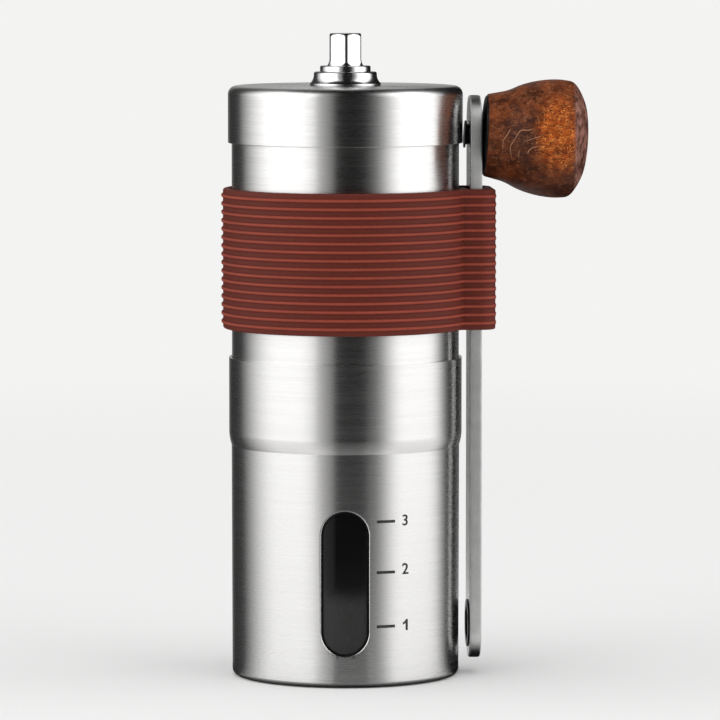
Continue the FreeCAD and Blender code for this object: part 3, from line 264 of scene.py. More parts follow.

# %% [markdown]
# The moulded parts inside are glass-filled nylon: nearly black, with the fine eroded grain of the mould.
# The window's dark ring is a blacker, duller shader that paints the shade in the gap round the window, and
# the marks are matt ink. The jar is a smoked clear plastic. It is a clear shader with a dark colour, and not
# a plain black one, because its far wall and the steel behind it must show faintly. Below the middle of the
# window its outside is rubbed by the steel cup: there it is duller and greyer, with a few pale specks.

# %% Plastics
def moulded(name, dark, light, gloss, grain, depth, **values):
    finish, tree, shader = new_finish(name, **values)
    fine = noise(tree, places(tree, (grain,) * 3), detail=3.0, roughness=0.6)
    share = rescale(tree, noise(tree, places(tree, (4.0,) * 3)), 0.35, 0.65, 0.0, 1.0)
    gloss = rescale(tree, fine, 0.3, 0.7, gloss - 0.06, gloss + 0.08)
    feed(tree, shader, Base_Color=blend(tree, share, dark, light), Roughness=gloss)
    bump(tree, shader, fine, depth)
    return finish


black_plastic = moulded("black_plastic", (0.010, 0.010, 0.011), (0.020, 0.020, 0.021), 0.42, 0.15, 0.00001)
burr_ceramic = moulded("burr_ceramic", (0.66, 0.62, 0.54), (0.76, 0.73, 0.66), 0.36, 0.3, 0.000004)
# Near-black painted shade for the gap round the window, used only by the window's dark ring.
gap_shade_black = moulded(
    "gap_shade_black", (0.003, 0.003, 0.003), (0.006, 0.006, 0.006), 0.6, 0.3, 0.000004, Specular_IOR_Level=0.12
)
mark_ink = moulded("mark_ink", (0.012, 0.012, 0.013), (0.028, 0.028, 0.03), 0.5, 0.2, 0.000001)

smoked_plastic, tree, shader = new_finish("smoked_plastic", IOR=1.57, Transmission_Weight=0.8)
scuffs = noise(tree, places(tree, (0.5, 0.5, 1.2)), detail=5.0, roughness=0.7)
height = part_of(tree, places(tree, (1.0, 1.0, 1.0)), "Z")
haze = rescale(tree, height, 21.5, 16.0, 0.0, 1.0, "SMOOTHSTEP")
specks = times(tree, haze, rescale(tree, scuffs, 0.56, 0.70, 0.0, 0.7))
tint = blend(tree, haze, (0.018, 0.018, 0.019), (0.082, 0.082, 0.082))
tint = blend(tree, specks, tint, (0.19, 0.19, 0.185))
feed(tree, shader, Base_Color=tint, Roughness=rescale(tree, haze, 0.0, 1.0, 0.09, 0.5))
bump(tree, shader, scuffs, 0.000004)
print("nodes in smoked_plastic:", len(tree.nodes))

# %% [markdown]
# Silicone rubber is dull, slightly dusty and brick red. Its colour wavers with a fine mottle. The crests of
# the ribs are lighter than the grooves: partly wear, since hands touch them, and partly a painted highlight
# where the light catches them. That follows height alone: the distance from the nearest rib's middle is
# worked out from the rib pitch.

# %% Band silicone
BAND_LOW = 71.4
BAND_HIGH = 99.988
RIB_COUNT = 16
RIB_MARGIN = 1.4
RIB_PITCH = (BAND_HIGH - BAND_LOW - 2 * RIB_MARGIN) / (RIB_COUNT - 1)

band_silicone, tree, shader = new_finish("band_silicone", Specular_IOR_Level=0.2)
height = part_of(tree, places(tree, (RIB_PITCH,) * 3, (0.0, 0.0, BAND_LOW + RIB_MARGIN)), "Z")
from_crest = maths(tree, "ABSOLUTE", maths(tree, "SUBTRACT", height, maths(tree, "ROUND", height)))
crest = rescale(tree, from_crest, 0.22, 0.06, 0.0, 1.0)
mottle = noise(tree, places(tree, (0.5, 0.5, 0.5)), detail=4.0, roughness=0.6)
cloud = noise(tree, places(tree, (9.0, 9.0, 5.0)))
# Lighter crests: wear, and a painted highlight on the rib tops.
crest_wear_and_highlight = times(tree, crest, rescale(tree, cloud, 0.3, 0.7, 0.75, 1.0))
share = rescale(tree, mottle, 0.3, 0.7, 0.0, 1.0)
groove_colour = blend(tree, share, (0.108, 0.017, 0.010), (0.138, 0.022, 0.013))
worn_and_lit_crest_colour = blend(tree, share, (0.29, 0.052, 0.029), (0.35, 0.064, 0.037))
gloss = rescale(tree, mottle, 0.3, 0.7, 0.54, 0.66)
feed(tree, shader, Base_Color=blend(tree, crest_wear_and_highlight, groove_colour, worn_and_lit_crest_colour), Roughness=gloss)
bump(tree, shader, mottle, 0.00001)
print("rib pitch in mm:", round(RIB_PITCH, 3))

# %% [markdown]
# The knob is stained wood under a thin, half dull lacquer. Its figure begins with clouds where the stain
# took more or less, a warm place towards the thick end, and short dark and light curls. A cooler, greyer
# place before the warm one is painted sheen of the lacquer, and the wood darkens towards the bottom as
# painted shade. The figure could be painted, but noise and distances in real sizes run through the solid
# as in real wood, and the turned shape cuts them. The curls are where a warped noise passes through its
# middle value.

# %% Knob wood
def curls(tree, size, thickness, warp, centre=(0.0, 0.0, 0.0)):
    """Short wavy lines: one on a line, nothing away from it. Sizes in millimetres."""
    field = noise(tree, places(tree, size, centre), detail=2.5, roughness=0.55, warp=warp)
    away = maths(tree, "ABSOLUTE", maths(tree, "SUBTRACT", field, 0.5))
    return rescale(tree, away, thickness, thickness * 0.3, 0.0, 1.0)


def patch(tree, centre, size, inside, outside):
    """One inside an egg-shaped place in the wood, nothing outside it, and a soft edge. In millimetres."""
    reach = length_of(tree, places(tree, size, centre))
    return rescale(tree, reach, outside, inside, 0.0, 1.0, "SMOOTHSTEP")


def sometimes(tree, size, centre, low, high, most=1.0):
    """Noise that is nothing in some places and up to most in others."""
    return rescale(tree, noise(tree, places(tree, (size,) * 3, centre)), low, high, 0.0, most)


knob_wood, tree, shader = new_finish("knob_wood", Coat_Weight=0.06, Coat_Roughness=0.2, Specular_IOR_Level=0.12)
cloud = noise(tree, places(tree, (4.0, 5.0, 2.6)), detail=4.0, roughness=0.6)
fine = noise(tree, places(tree, (1.3, 0.5, 0.35)), detail=4.0, roughness=0.65, warp=0.8)
warm = patch(tree, (43.2, -8.0, 111.5), (5.2, 9.0, 9.5), 0.45, 1.1)
warm = times(tree, warm, rescale(tree, cloud, 0.32, 0.5, 0.4, 1.0))
# Painted sheen: a place where the lacquer's haze is given as a cooler, greyer colour.
painted_sheen_place = patch(tree, (35.6, -9.0, 109.8), (5.2, 8.0, 5.5), 0.35, 1.2)
# Painted shade: the wood turns darker towards the bottom of the knob, where its underside is shaded.
low = rescale(tree, part_of(tree, places(tree, (1.0, 1.0, 1.0)), "Z"), 107.5, 100.0, 0.0, 0.75)
stain = rescale(tree, cloud, 0.38, 0.62, 0.0, 1.0)
ground = blend(tree, stain, (0.066, 0.016, 0.005), (0.24, 0.056, 0.013))
for share, colour in (
    # painted sheen: a greyer brown over that place
    (times(tree, painted_sheen_place, 0.7), (0.054, 0.019, 0.012)),
    (warm, (0.41, 0.081, 0.010)),
    # painted shade towards the bottom
    (low, (0.034, 0.008, 0.003)),
    (rescale(tree, fine, 0.52, 0.36, 0.0, 0.75), (0.030, 0.008, 0.004)),
):
    ground = blend(tree, share, ground, colour)

seldom = sometimes(tree, 1.4, (0.0, 0.0, 0.0), 0.4, 0.6, 0.8)
dark_curls = times(tree, curls(tree, (0.8, 0.55, 0.5), 0.05, 1.0), seldom)
ground = blend(tree, dark_curls, ground, (0.024, 0.007, 0.004))
# The light curls fade towards the bottom, with the painted shade there.
light_curls = times(
    tree, curls(tree, (1.0, 0.65, 0.6), 0.048, 1.2, (3.0, 0.0, 0.0)),
    sometimes(tree, 1.3, (5.0, 0.0, 0.0), 0.43, 0.58),
    rescale(tree, warm, 0.0, 0.5, 0.62, 1.0), rescale(tree, low, 0.0, 0.75, 1.0, 0.3),
)
light_colour = blend(tree, warm, (0.36, 0.13, 0.055), (0.86, 0.28, 0.055))
ground = blend(tree, light_curls, ground, light_colour)
print("nodes in knob_wood's stain and curls:", len(tree.nodes))

# %% [markdown]
# On the slightly domed end the wood shows its end grain in coarse streaks; its greyer, paler colour there is
# painted sheen of the lacquer on the bevel. Over the place of painted sheen run a few pale arcs of growth
# rings: a sine of the distance from a line through the knob.

# %% Knob wood: end grain, painted sheen and growth rings
RING_CENTRE = (40.3, -9.0, 106.5)
RING_GAP = 2.1
END_BEVEL = 46.65

along = part_of(tree, places(tree, (1.0, 1.0, 1.0)), "X")
along = maths(tree, "ADD", along, rescale(tree, fine, 0.3, 0.7, -0.2, 0.2))
# Past the start of the end bevel the colour turns to end grain with painted sheen.
end_grain_and_sheen = rescale(tree, along, END_BEVEL - 0.1, END_BEVEL + 0.25, 0.0, 0.85)
end_streaks = noise(tree, places(tree, (0.35, 0.6, 2.4)), detail=4.0, roughness=0.65, warp=0.6)
end_patches = noise(tree, places(tree, (1.5, 2.5, 2.2), (7.0, 0.0, 0.0)), detail=3.0)
end_share = maths(tree, "ADD", end_streaks, maths(tree, "SUBTRACT", end_patches, 0.5))
end_share = rescale(tree, end_share, 0.36, 0.68, 0.0, 1.0)
end_grain_and_sheen_colour = blend(tree, end_share, (0.048, 0.016, 0.011), (0.32, 0.15, 0.115))
ground = blend(tree, end_grain_and_sheen, ground, end_grain_and_sheen_colour)

reach = length_of(tree, places(tree, (1.0, 4.0, 1.0), RING_CENTRE))
sway = rescale(tree, noise(tree, places(tree, (7.0, 7.0, 7.0))), 0.2, 0.8, -1.3, 1.3)
turns = times(tree, maths(tree, "ADD", reach, sway), 2 * math.pi / RING_GAP)
ring_lines = times(
    tree, rescale(tree, maths(tree, "SINE", turns), 0.95, 0.995, 0.0, 1.0),
    sometimes(tree, 2.8, (2.0, 0.0, 7.0), 0.42, 0.54, 0.8),
    patch(tree, (35.6, -9.0, 110.6), (4.6, 8.0, 4.6), 0.7, 1.1),
)
ground = blend(tree, ring_lines, ground, (0.56, 0.28, 0.16))
feed(tree, shader, Base_Color=ground, Roughness=rescale(tree, cloud, 0.35, 0.65, 0.42, 0.54))
bump(tree, shader, maths(tree, "ADD", light_curls, fine), 0.00003)
print("nodes in all of knob_wood:", len(tree.nodes))

# %% [markdown]
# Every solid of the frame that stays in view, outside or inside, gets the finish of its slot. The frame
# names each slot in the solid's own material, so one table is enough.

# %% Finishes for the frame's own solids
finishes = dict(
    brushed_steel=brushed_steel, arm_steel=satin_steel, machined_steel=polished_steel, dark_steel=dark_steel,
    chrome=chrome, brass=brass, smoked_plastic=smoked_plastic, black_plastic=black_plastic,
    burr_ceramic=burr_ceramic, band_silicone=band_silicone, knob_wood=knob_wood,
)
for name, node in nodes.items():
    for place, material in enumerate(node.data.materials):
        node.data.materials[place] = finishes[material.name.split(".")[0]]
print("finished solids:", len(nodes), "with", len(finishes), "finishes")


# %% [markdown]
# A turned or drawn part is the same all the way round, so it is spun: its outline is drawn once, in a half
# plane, and turned about the upright axis. The corners are rounded first, because a real edge catches a
# thin line of light, which a knife-sharp one can't. Each corner is given as a radius, a height and the cut
# of its rounding, in millimetres.

# %% Helper: spin an outline
TOUCHING = 1e-7


def bevel(mesh, items, width, segments, affect="VERTICES"):
    """Rounds corners, or edges, by a width in millimetres."""
    bmesh.ops.bevel(
        mesh, geom=items, offset=width * MM, affect=affect, segments=segments, profile=0.5, material=-1,
        loop_slide=affect == "EDGES",
    )


def spin_round(mesh, steps):
    """Turns all that is drawn once round the upright axis."""
    bmesh.ops.spin(
        mesh, geom=mesh.verts[:] + mesh.edges[:], cent=(0, 0, 0), axis=(0, 0, 1), dvec=(0, 0, 0),
        angle=2 * math.pi, steps=steps, use_merge=True,
    )


def spun(outline, steps=256, round_segments=4):
    """A closed shell of revolution round the upright axis, from (radius, height, rounding) corners."""
    mesh = bmesh.new()
    corners = [mesh.verts.new((radius * MM, 0.0, height * MM)) for radius, height, rounding in outline]
    mesh.faces.new(corners)
    for corner, (radius, height, rounding) in zip(corners, outline):
        if rounding:
            bevel(mesh, [corner], rounding, round_segments)
    bmesh.ops.delete(mesh, geom=mesh.faces[:], context="FACES_ONLY")
    axis_edges = [edge for edge in mesh.edges if all(abs(vert.co.x) < TOUCHING for vert in edge.verts)]
    bmesh.ops.delete(mesh, geom=axis_edges, context="EDGES")
    spin_round(mesh, steps)
    bmesh.ops.remove_doubles(mesh, verts=mesh.verts, dist=TOUCHING)
    bmesh.ops.recalc_face_normals(mesh, faces=mesh.faces)
    return mesh


# %% [markdown]
# What can't be spun whole is drawn as an outline and pulled into a wall or a block. Its arcs are points
# spun into edges. Holes are cut with closed tools at the end, by a Boolean modifier whose result is read
# back, because drawing round a hole by hand makes a tangle of faces.

# %% Helpers: draw, pull and cut
def points_of(items):
    """The points among what an operator returns."""
    return [item for item in items if isinstance(item, bmesh.types.BMVert)]


def arc(mesh, start, centre, axis, angle, steps):
    """Spins a point into an arc of edges and returns the arc's last point."""
    turn = bmesh.ops.spin(
        mesh, geom=[start], cent=centre, axis=axis, dvec=(0, 0, 0), angle=angle, steps=steps, use_merge=False,
    )
    return points_of(turn["geom_last"])[0]


def pull(mesh, by, edges=None, faces=None):
    """Pulls edges into a wall, or faces into a block, by a step in metres, and returns what is new."""
    if faces:
        new = bmesh.ops.extrude_face_region(mesh, geom=faces)["geom"]
    else:
        new = bmesh.ops.extrude_edge_only(mesh, edges=edges)["geom"]
    bmesh.ops.translate(mesh, verts=points_of(new), vec=by)
    return new


def as_mesh(mesh, name):
    """Stores a bmesh as mesh data."""
    data = bpy.data.meshes.new(name)
    mesh.to_mesh(data)
    mesh.free()
    return data


def cut_away(mesh, *tools):
    """Cuts closed bmesh tools out of a closed bmesh."""
    work = put("work", as_mesh(mesh, "work"))
    cutters = [put("cutter", as_mesh(tool, "cutter")) for tool in tools]
    for cutter in cutters:
        cut = work.modifiers.new("cut", "BOOLEAN")
        cut.operation = "DIFFERENCE"
        cut.solver = "EXACT"
        cut.object = cutter
    result = bmesh.new()
    result.from_object(work, bpy.context.evaluated_depsgraph_get())
    for thing in [work, *cutters]:
        data = thing.data
        bpy.data.objects.remove(thing)
        bpy.data.meshes.remove(data)
    return result


# %% [markdown]
# A finished mesh becomes a piece: it gets its finish and the body it moves with and, where it stands for a
# solid of the frame, that solid is hidden. Then the edges that are still sharp can be broken by a modifier,
# and another keeps the shading of the large faces even.

# %% Helpers: make and finish a piece
def piece(mesh, name, body, finish, stands_for=None):
    """Makes a finished bmesh a piece that moves with a body, and hides the solid it stands for."""
    data = as_mesh(mesh, name)
    data.shade_smooth()
    data.materials.append(finish)
    thing = put(name, data)
    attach(thing, body)
    if stands_for:
        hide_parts(stands_for)
    print(name, "faces:", len(data.polygons), "size in mm:", [round(v / MM, 2) for v in thing.dimensions])
    return thing


def round_edges(thing, width):
    """Rounds the edges that are sharper than an angle, once the piece is whole."""
    edge = thing.modifiers.new("edge", "BEVEL")
    edge.width = width * MM
    edge.segments = 2
    edge.limit_method = "ANGLE"
    edge.angle_limit = math.radians(35.0)
    edge.harden_normals = True
    return thing


def even_light(thing):
    """Lets the big faces decide how the small rounded edges between them are shaded."""
    thing.modifiers.new("even light", "WEIGHTED_NORMAL").keep_sharp = False


# %% [markdown]
# The lid is a shallow steel cap that is pushed over the tube. It is one drawn sheet, so its wall and its
# top have the same thickness, its upper edge has a large round, and its rim is cut and deburred.

# %% Lid
LID_LOW = 109.288
LID_TOP = 120.888
LID_REACH = 24.0
LID_HOLE = 5.55
SHEET = 0.6

lid = spun([
    (LID_REACH, LID_LOW, 0.12), (LID_REACH, LID_TOP, 1.7), (LID_HOLE, LID_TOP, 0.1),
    (LID_HOLE, LID_TOP - SHEET, 0.1), (LID_REACH - SHEET, LID_TOP - SHEET, 1.1), (LID_REACH - SHEET, LID_LOW, 0.12),
], round_segments=8)
even_light(piece(lid, "brushed_lid", "lid", brushed_steel, "lid_shell"))

# %% [markdown]
# The bushing in the lid's centre is turned and chrome plated: a foot with a low upright rim, a hollow
# flare up to the barrel, and a narrower step. Its fine turning marks make the plating a satin one, so the
# roundings matter most here: each one draws the whole studio into a thin line.

# %% Lid bushing
BUSHING = [
    (3.75, -2.0, 0.1), (5.5, -2.0, 0.1), (5.5, 0.0, 0.0), (7.22, 0.0, 0.1), (7.3, 0.452, 0.12),
    (6.72, 1.062, 0.45), (6.45, 1.862, 0.4), (6.45, 2.9, 0.45), (5.17, 2.9, 0.12), (5.17, 4.1, 0.3), (3.75, 4.1, 0.15),
]
bushing = spun([(radius, LID_TOP + lift, rounding) for radius, lift, rounding in BUSHING], steps=128)
even_light(piece(bushing, "chrome_bushing", "lid", chrome, "lid_bushing"))

# %% [markdown]
# The shaft is a round bar. Its head is a hexagon, milled with a round cutter, so each flat runs out in a
# hollow at its foot, and its spindle has two long flats. A hexagonal prism would miss the hollows. So the
# bar is spun, with many rows where the flats end, and each point outside the hexagon is drawn back towards
# the axis. The hexagon is a formula: the more squarely a flat faces a point, the more it counts, and a high
# power keeps the corners narrow but a little worn.

# %% Drive shaft
HEAD_LOW = 124.9
HEAD_FLAT = 3.2
HEAD_TURN = math.radians(3.4)
WORN = 14
RUNOUT_TOP = 126.45
RUNOUT_RADIUS = 2.6
SPINDLE_TOP = 61.7
SPINDLE_FLAT = 2.3


def head_depth(height):
    """Distance of the head's flats from the axis, wider in the hollow at their foot."""
    below = max(0.0, RUNOUT_TOP - height)
    return HEAD_FLAT + RUNOUT_RADIUS - math.sqrt(max(0.0, RUNOUT_RADIUS ** 2 - below ** 2))


rows = [(3.65, RUNOUT_TOP - 1.4 + 0.1 * step, 0.0) for step in range(15)]
rows += [(3.65, 126.7 + 0.5 * step, 0.0) for step in range(8)]
shaft = spun([
    (0.0, 43.9, 0.0), (2.5, 43.9, 0.1), (3.0, 44.4, 0.1), (3.0, SPINDLE_TOP - 0.02, 0.0),
    (3.0, SPINDLE_TOP + 0.02, 0.0), (3.0, 78.8, 0.0), (3.65, 78.8, 0.15), (3.65, 119.5, 0.0), *rows,
    (3.65, 130.85, 0.15), (3.2, 131.42, 0.12), (3.02, 131.588, 0.08), (0.0, 131.588, 0.0),
], steps=192)
for vert in shaft.verts:
    if vert.co.z >= HEAD_LOW * MM:
        angle = math.atan2(vert.co.y, vert.co.x) - HEAD_TURN
        nearness = sum(max(0.0, math.cos(angle - number * math.pi / 3)) ** WORN for number in range(6))
        reach = head_depth(vert.co.z / MM) * MM / nearness ** (1 / WORN)
        now = math.hypot(vert.co.x, vert.co.y)
        if now > reach:
            vert.co.x *= reach / now
            vert.co.y *= reach / now
    elif vert.co.z <= SPINDLE_TOP * MM:
        vert.co.x = max(-SPINDLE_FLAT * MM, min(SPINDLE_FLAT * MM, vert.co.x))
even_light(piece(shaft, "milled_shaft", "shaft", polished_steel, "drive_shaft"))

# %% [markdown]
# The cup is drawn like the lid: a round base edge, a slightly tapered wall and, near the top, a step that
# widens it so that it slips over the tube. The wall is spun, with a row of corners just below and just
# above the window, so that the cut disturbs no face beyond them.

# %% Steel cup
WINDOW_HALF = 4.9
WINDOW_LOW = 11.4
WINDOW_HIGH = 31.0

cup = spun([
    (0.0, 0.0, 0.0), (23.25, 0.0, 1.2), (23.262, 5.9, 0.0), (23.327, 36.5, 0.0),
    (23.35, 47.4, 0.05), (23.85, 48.807, 1.4), (23.85, 65.4, 0.0),
    (23.35, 65.4, 0.0), (23.35, 48.807, 1.4), (22.85, 47.4, 0.05), (22.75, 0.6, 0.7), (0.0, 0.6, 0.0),
], round_segments=8)
print("faces of the cup without its window:", len(cup.faces))

# %% [markdown]
# The window is punched through the cup's front, and its edge is rolled over, which draws a thin bright line
# round it. A straight tool would cut a rounding of uneven width into the round wall. So the tool is drawn
# flat, as a stack of rings that widen towards the outside, and is then bent round the cup. A piece bends
# only where it has edges, so it is first cut into narrow strips.

# %% Window of the cup
RIM_ROUND = 0.27
RIM_STEPS = 3
STRIPS_PER_MM = 5


def stadium(mesh, half, depth):
    """A closed upright ring of edges with round ends, as wide as a window, at a depth in the wall."""
    others = set(mesh.edges)
    start = mesh.verts.new((half * MM, depth * MM, WINDOW_LOW * MM))
    left = arc(mesh, start, (0, depth * MM, WINDOW_LOW * MM), (0, 1, 0), math.pi, 32)
    high_left = mesh.verts.new(left.co + Vector((0, 0, (WINDOW_HIGH - WINDOW_LOW) * MM)))
    mesh.edges.new((left, high_left))
    right = arc(mesh, high_left, (0, depth * MM, WINDOW_HIGH * MM), (0, 1, 0), math.pi, 32)
    mesh.edges.new((right, start))
    return [edge for edge in mesh.edges if edge not in others]


def strips(mesh, left, right):
    """Cuts a piece into upright strips between two places across it."""
    for cut in range(math.ceil(left * STRIPS_PER_MM), math.floor(right * STRIPS_PER_MM) + 1):
        bmesh.ops.bisect_plane(
            mesh, geom=mesh.verts[:] + mesh.edges[:] + mesh.faces[:],
            plane_co=(cut / STRIPS_PER_MM * MM, 0, 0), plane_no=(1, 0, 0),
        )


def bend(mesh, radius):
    """Bends a piece, drawn in x along the wall, y into it and z up, round the cup's front."""
    for vert in mesh.verts:
        angle = vert.co.x / (radius * MM)
        reach = radius * MM - vert.co.y
        vert.co = Vector((reach * math.sin(angle), -reach * math.cos(angle), vert.co.z))
    bmesh.ops.recalc_face_normals(mesh, faces=mesh.faces)


tool = bmesh.new()
rings = [stadium(tool, WINDOW_HALF, 1.5)]
for step in range(RIM_STEPS + 1):
    turn = math.pi / 2 * step / RIM_STEPS
    wider = RIM_ROUND * (1 - math.cos(turn))
    rings.append(stadium(tool, WINDOW_HALF + wider, RIM_ROUND * (1 - math.sin(turn))))
rings.append(stadium(tool, WINDOW_HALF + RIM_ROUND + 0.1, -0.25))
for first, second in zip(rings, rings[1:]):
    bmesh.ops.bridge_loops(tool, edges=first + second)
bmesh.ops.holes_fill(tool, edges=tool.edges[:], sides=0)
strips(tool, -WINDOW_HALF - 0.8, WINDOW_HALF + 0.8)
bend(tool, 23.3)
print("open edges of the window's tool:", sum(not edge.is_manifold for edge in tool.edges))
cup = cut_away(cup, tool)
even_light(round_edges(piece(cup, "brushed_cup", "cup", brushed_steel, "cup_sleeve"), 0.12))

# %% [markdown]
# A thin black ring lies inside the window's edge, between the steel and the jar, and draws a dark line
# round the window: it is painted shade of the gap between them. It is made like the tool: a flat ring with
# round ends, cut into strips, thickened and bent round the jar.

# %% Window shade ring
SHADE_RING_WIDTH = 0.42
SHADE_RING_RADIUS = 22.66


def wrap(mesh, radius, thickness, left, right):
    """Cuts a flat piece into strips, thickens it outwards and bends it round the cup's front."""
    strips(mesh, left, right)
    pull(mesh, (0, -thickness * MM, 0), faces=mesh.faces[:])
    bend(mesh, radius)


# Painted shade: a black ring in the gap between the steel and the jar.
shade_ring = bmesh.new()
for half in (WINDOW_HALF + 0.05, WINDOW_HALF - SHADE_RING_WIDTH):
    stadium(shade_ring, half, 0.0)
bmesh.ops.triangle_fill(shade_ring, edges=shade_ring.edges[:], use_beauty=True)
wrap(shade_ring, SHADE_RING_RADIUS, 0.3, -WINDOW_HALF, WINDOW_HALF)
shade_ring = piece(shade_ring, "window_shade_ring", "cup", gap_shade_black)
shade_ring.data.shade_flat()

# %% [markdown]
# The grip band is a moulded silicone sleeve with sixteen fine ribs, which also run round the flat pocket
# that holds the crank. Its plan is therefore not round, and it can't be spun. Its plan is drawn as one ring
# instead: a long arc, the pocket's two corners, and all corners rounded.

# %% Grip band: its plan
BAND_RADIUS = 25.05
BAND_BORE = 23.3
POCKET_FACE = 30.35
POCKET_HALF = 9.3
POCKET_ROUND = 3.2
CREASE_ANGLE = math.asin(POCKET_HALF / BAND_RADIUS)
CREASE_REACH = BAND_RADIUS * math.cos(CREASE_ANGLE)

band = bmesh.new()
first = band.verts.new((CREASE_REACH * MM, POCKET_HALF * MM, BAND_LOW * MM))
last = arc(band, first, (0, 0, 0), (0, 0, 1), 2 * (math.pi - CREASE_ANGLE), 150)
corners = [band.verts.new((POCKET_FACE * MM, side * POCKET_HALF * MM, BAND_LOW * MM)) for side in (-1, 1)]
for start, end in ((last, corners[0]), (corners[0], corners[1]), (corners[1], first)):
    band.edges.new((start, end))
bmesh.ops.contextual_create(band, geom=band.edges[:])
bevel(band, corners, POCKET_ROUND, 10)
creases = [vert for vert in band.verts if 0 < vert.co.x < (CREASE_REACH + 0.01) * MM
           and abs(abs(vert.co.y) - POCKET_HALF * MM) < TOUCHING]
bevel(band, creases, 0.35, 3)
bmesh.ops.delete(band, geom=band.faces[:], context="FACES_ONLY")
print("points in the band's plan:", len(band.verts))

# %% [markdown]
# The ring is pulled up into a wall, row by row, and every row is then pushed out by the height of the rib
# at its level. So each rib has a round crest, and follows the pocket as well, where it is lower.

# %% Grip band: its ribbed wall
RIB_SHAPE = [
    (-0.42, 0.0), (-0.40, 0.10), (-0.34, 0.21), (-0.24, 0.30), (-0.12, 0.355), (0.0, 0.37),
    (0.12, 0.355), (0.24, 0.30), (0.34, 0.21), (0.40, 0.10), (0.42, 0.0),
]
EDGE_SHAPE = [(0.0, -0.4), (0.06, -0.2), (0.2, -0.06), (0.4, 0.0)]
POCKET_RIBS = 0.4

levels = [(BAND_LOW + lift, rise) for lift, rise in EDGE_SHAPE]
for rib in range(RIB_COUNT):
    middle = BAND_LOW + RIB_MARGIN + rib * RIB_PITCH
    levels += [(middle + lift, rise) for lift, rise in RIB_SHAPE]
levels += [(BAND_HIGH - lift, rise) for lift, rise in reversed(EDGE_SHAPE)]

ring = band.edges[:]
low_rim = list(ring)
rise_of = {vert: levels[0][1] for vert in band.verts}
for (level, _), (above, rise) in zip(levels, levels[1:]):
    pulled = pull(band, (0, 0, (above - level) * MM), edges=ring)
    rise_of.update({point: rise for point in points_of(pulled)})
    ring = [item for item in pulled if isinstance(item, bmesh.types.BMEdge) and item.is_boundary]
high_rim = list(ring)
bmesh.ops.recalc_face_normals(band, faces=band.faces)
band.normal_update()
outward = {vert: vert.normal.copy() for vert in band.verts}
leftmost = min(band.verts, key=lambda vert: vert.co.x)
sense = -1.0 if outward[leftmost].x > 0 else 1.0
for vert, out in outward.items():
    rise = rise_of[vert]
    if rise > 0:
        on_pocket = min(1.0, max(0.0, (vert.co.x / MM - BAND_RADIUS) / (POCKET_FACE - BAND_RADIUS)))
        rise *= 1.0 - on_pocket * (1.0 - POCKET_RIBS)
    vert.co += Vector((out.x, out.y, 0.0)).normalized() * sense * rise * MM
print("rows in the band's wall:", len(levels))

# %% [markdown]
# The band's bore and the slot for the crank go straight through. Their rims are drawn in the plan's level
# and pulled up as well, and the flat rings between the rims are filled below and above.

# %% Grip band: its bore and slot
SLOT_NEAR, SLOT_FAR, SLOT_HALF = 24.65, 27.95, 6.3

bore_ring = bmesh.ops.create_circle(
    band, segments=128, radius=BAND_BORE * MM, matrix=Matrix.Translation((0, 0, BAND_LOW * MM))
)["verts"]
slot_corners = [
    band.verts.new((x * MM, y * MM, BAND_LOW * MM)) for x, y in
    ((SLOT_NEAR, -SLOT_HALF), (SLOT_FAR, -SLOT_HALF), (SLOT_FAR, SLOT_HALF), (SLOT_NEAR, SLOT_HALF))
]
slot_ring = [band.edges.new(pair) for pair in zip(slot_corners, slot_corners[1:] + slot_corners[:1])]
inner_rims = list({edge for vert in bore_ring for edge in vert.link_edges}) + slot_ring
pulled = pull(band, (0, 0, (BAND_HIGH - BAND_LOW) * MM), edges=inner_rims)
tops = set(points_of(pulled))
inner_tops = [item for item in pulled if isinstance(item, bmesh.types.BMEdge)
              and all(vert in tops for vert in item.verts)]
bmesh.ops.triangle_fill(band, edges=low_rim + inner_rims, use_beauty=True)
bmesh.ops.triangle_fill(band, edges=high_rim + inner_tops, use_beauty=True)
bmesh.ops.recalc_face_normals(band, faces=band.faces)
bmesh.ops.rotate(band, verts=band.verts, cent=(0, 0, 0), matrix=Matrix.Rotation(CRANK_TURN, 3, "Z"))
even_light(piece(band, "ribbed_band", "body", band_silicone, "grip_band"))

# %% [markdown]
# The crank's arm is cut from flat bar and its edges are rubbed round. Its outline is two half circles,
# spun from single points, and two straight sides. The face between them is pulled to the bar's thickness
# and its rims are bevelled before the two holes are cut, so that the bevel meets no corner.

# %% Crank arm
ARM_THICKNESS = 2.4
ARM_HALF = 6.0
ARM_LOW = 3.1
ARM_HIGH = 118.938
SOCKET_HEIGHT = 10.2
SOCKET_HOLE = 4.9
PIN_HOLE = 2.15
KNOB_START = Vector((27.607, 1.543, 110.788)) * MM
KNOB_DROOP = math.radians(3.0)
KNOB_TURN = Matrix.Rotation(CRANK_TURN, 4, "Z") @ Matrix.Rotation(math.pi / 2 + KNOB_DROOP, 4, "Y")
KNOB_PLACE = Matrix.Translation(KNOB_START) @ KNOB_TURN


def drill(radius, place, segments):
    """A round cutting tool, long enough to pass through the arm."""
    mesh = bmesh.new()
    bmesh.ops.create_cone(
        mesh, cap_ends=True, segments=segments, radius1=radius * MM, radius2=radius * MM,
        depth=4 * ARM_THICKNESS * MM, matrix=place,
    )
    return mesh


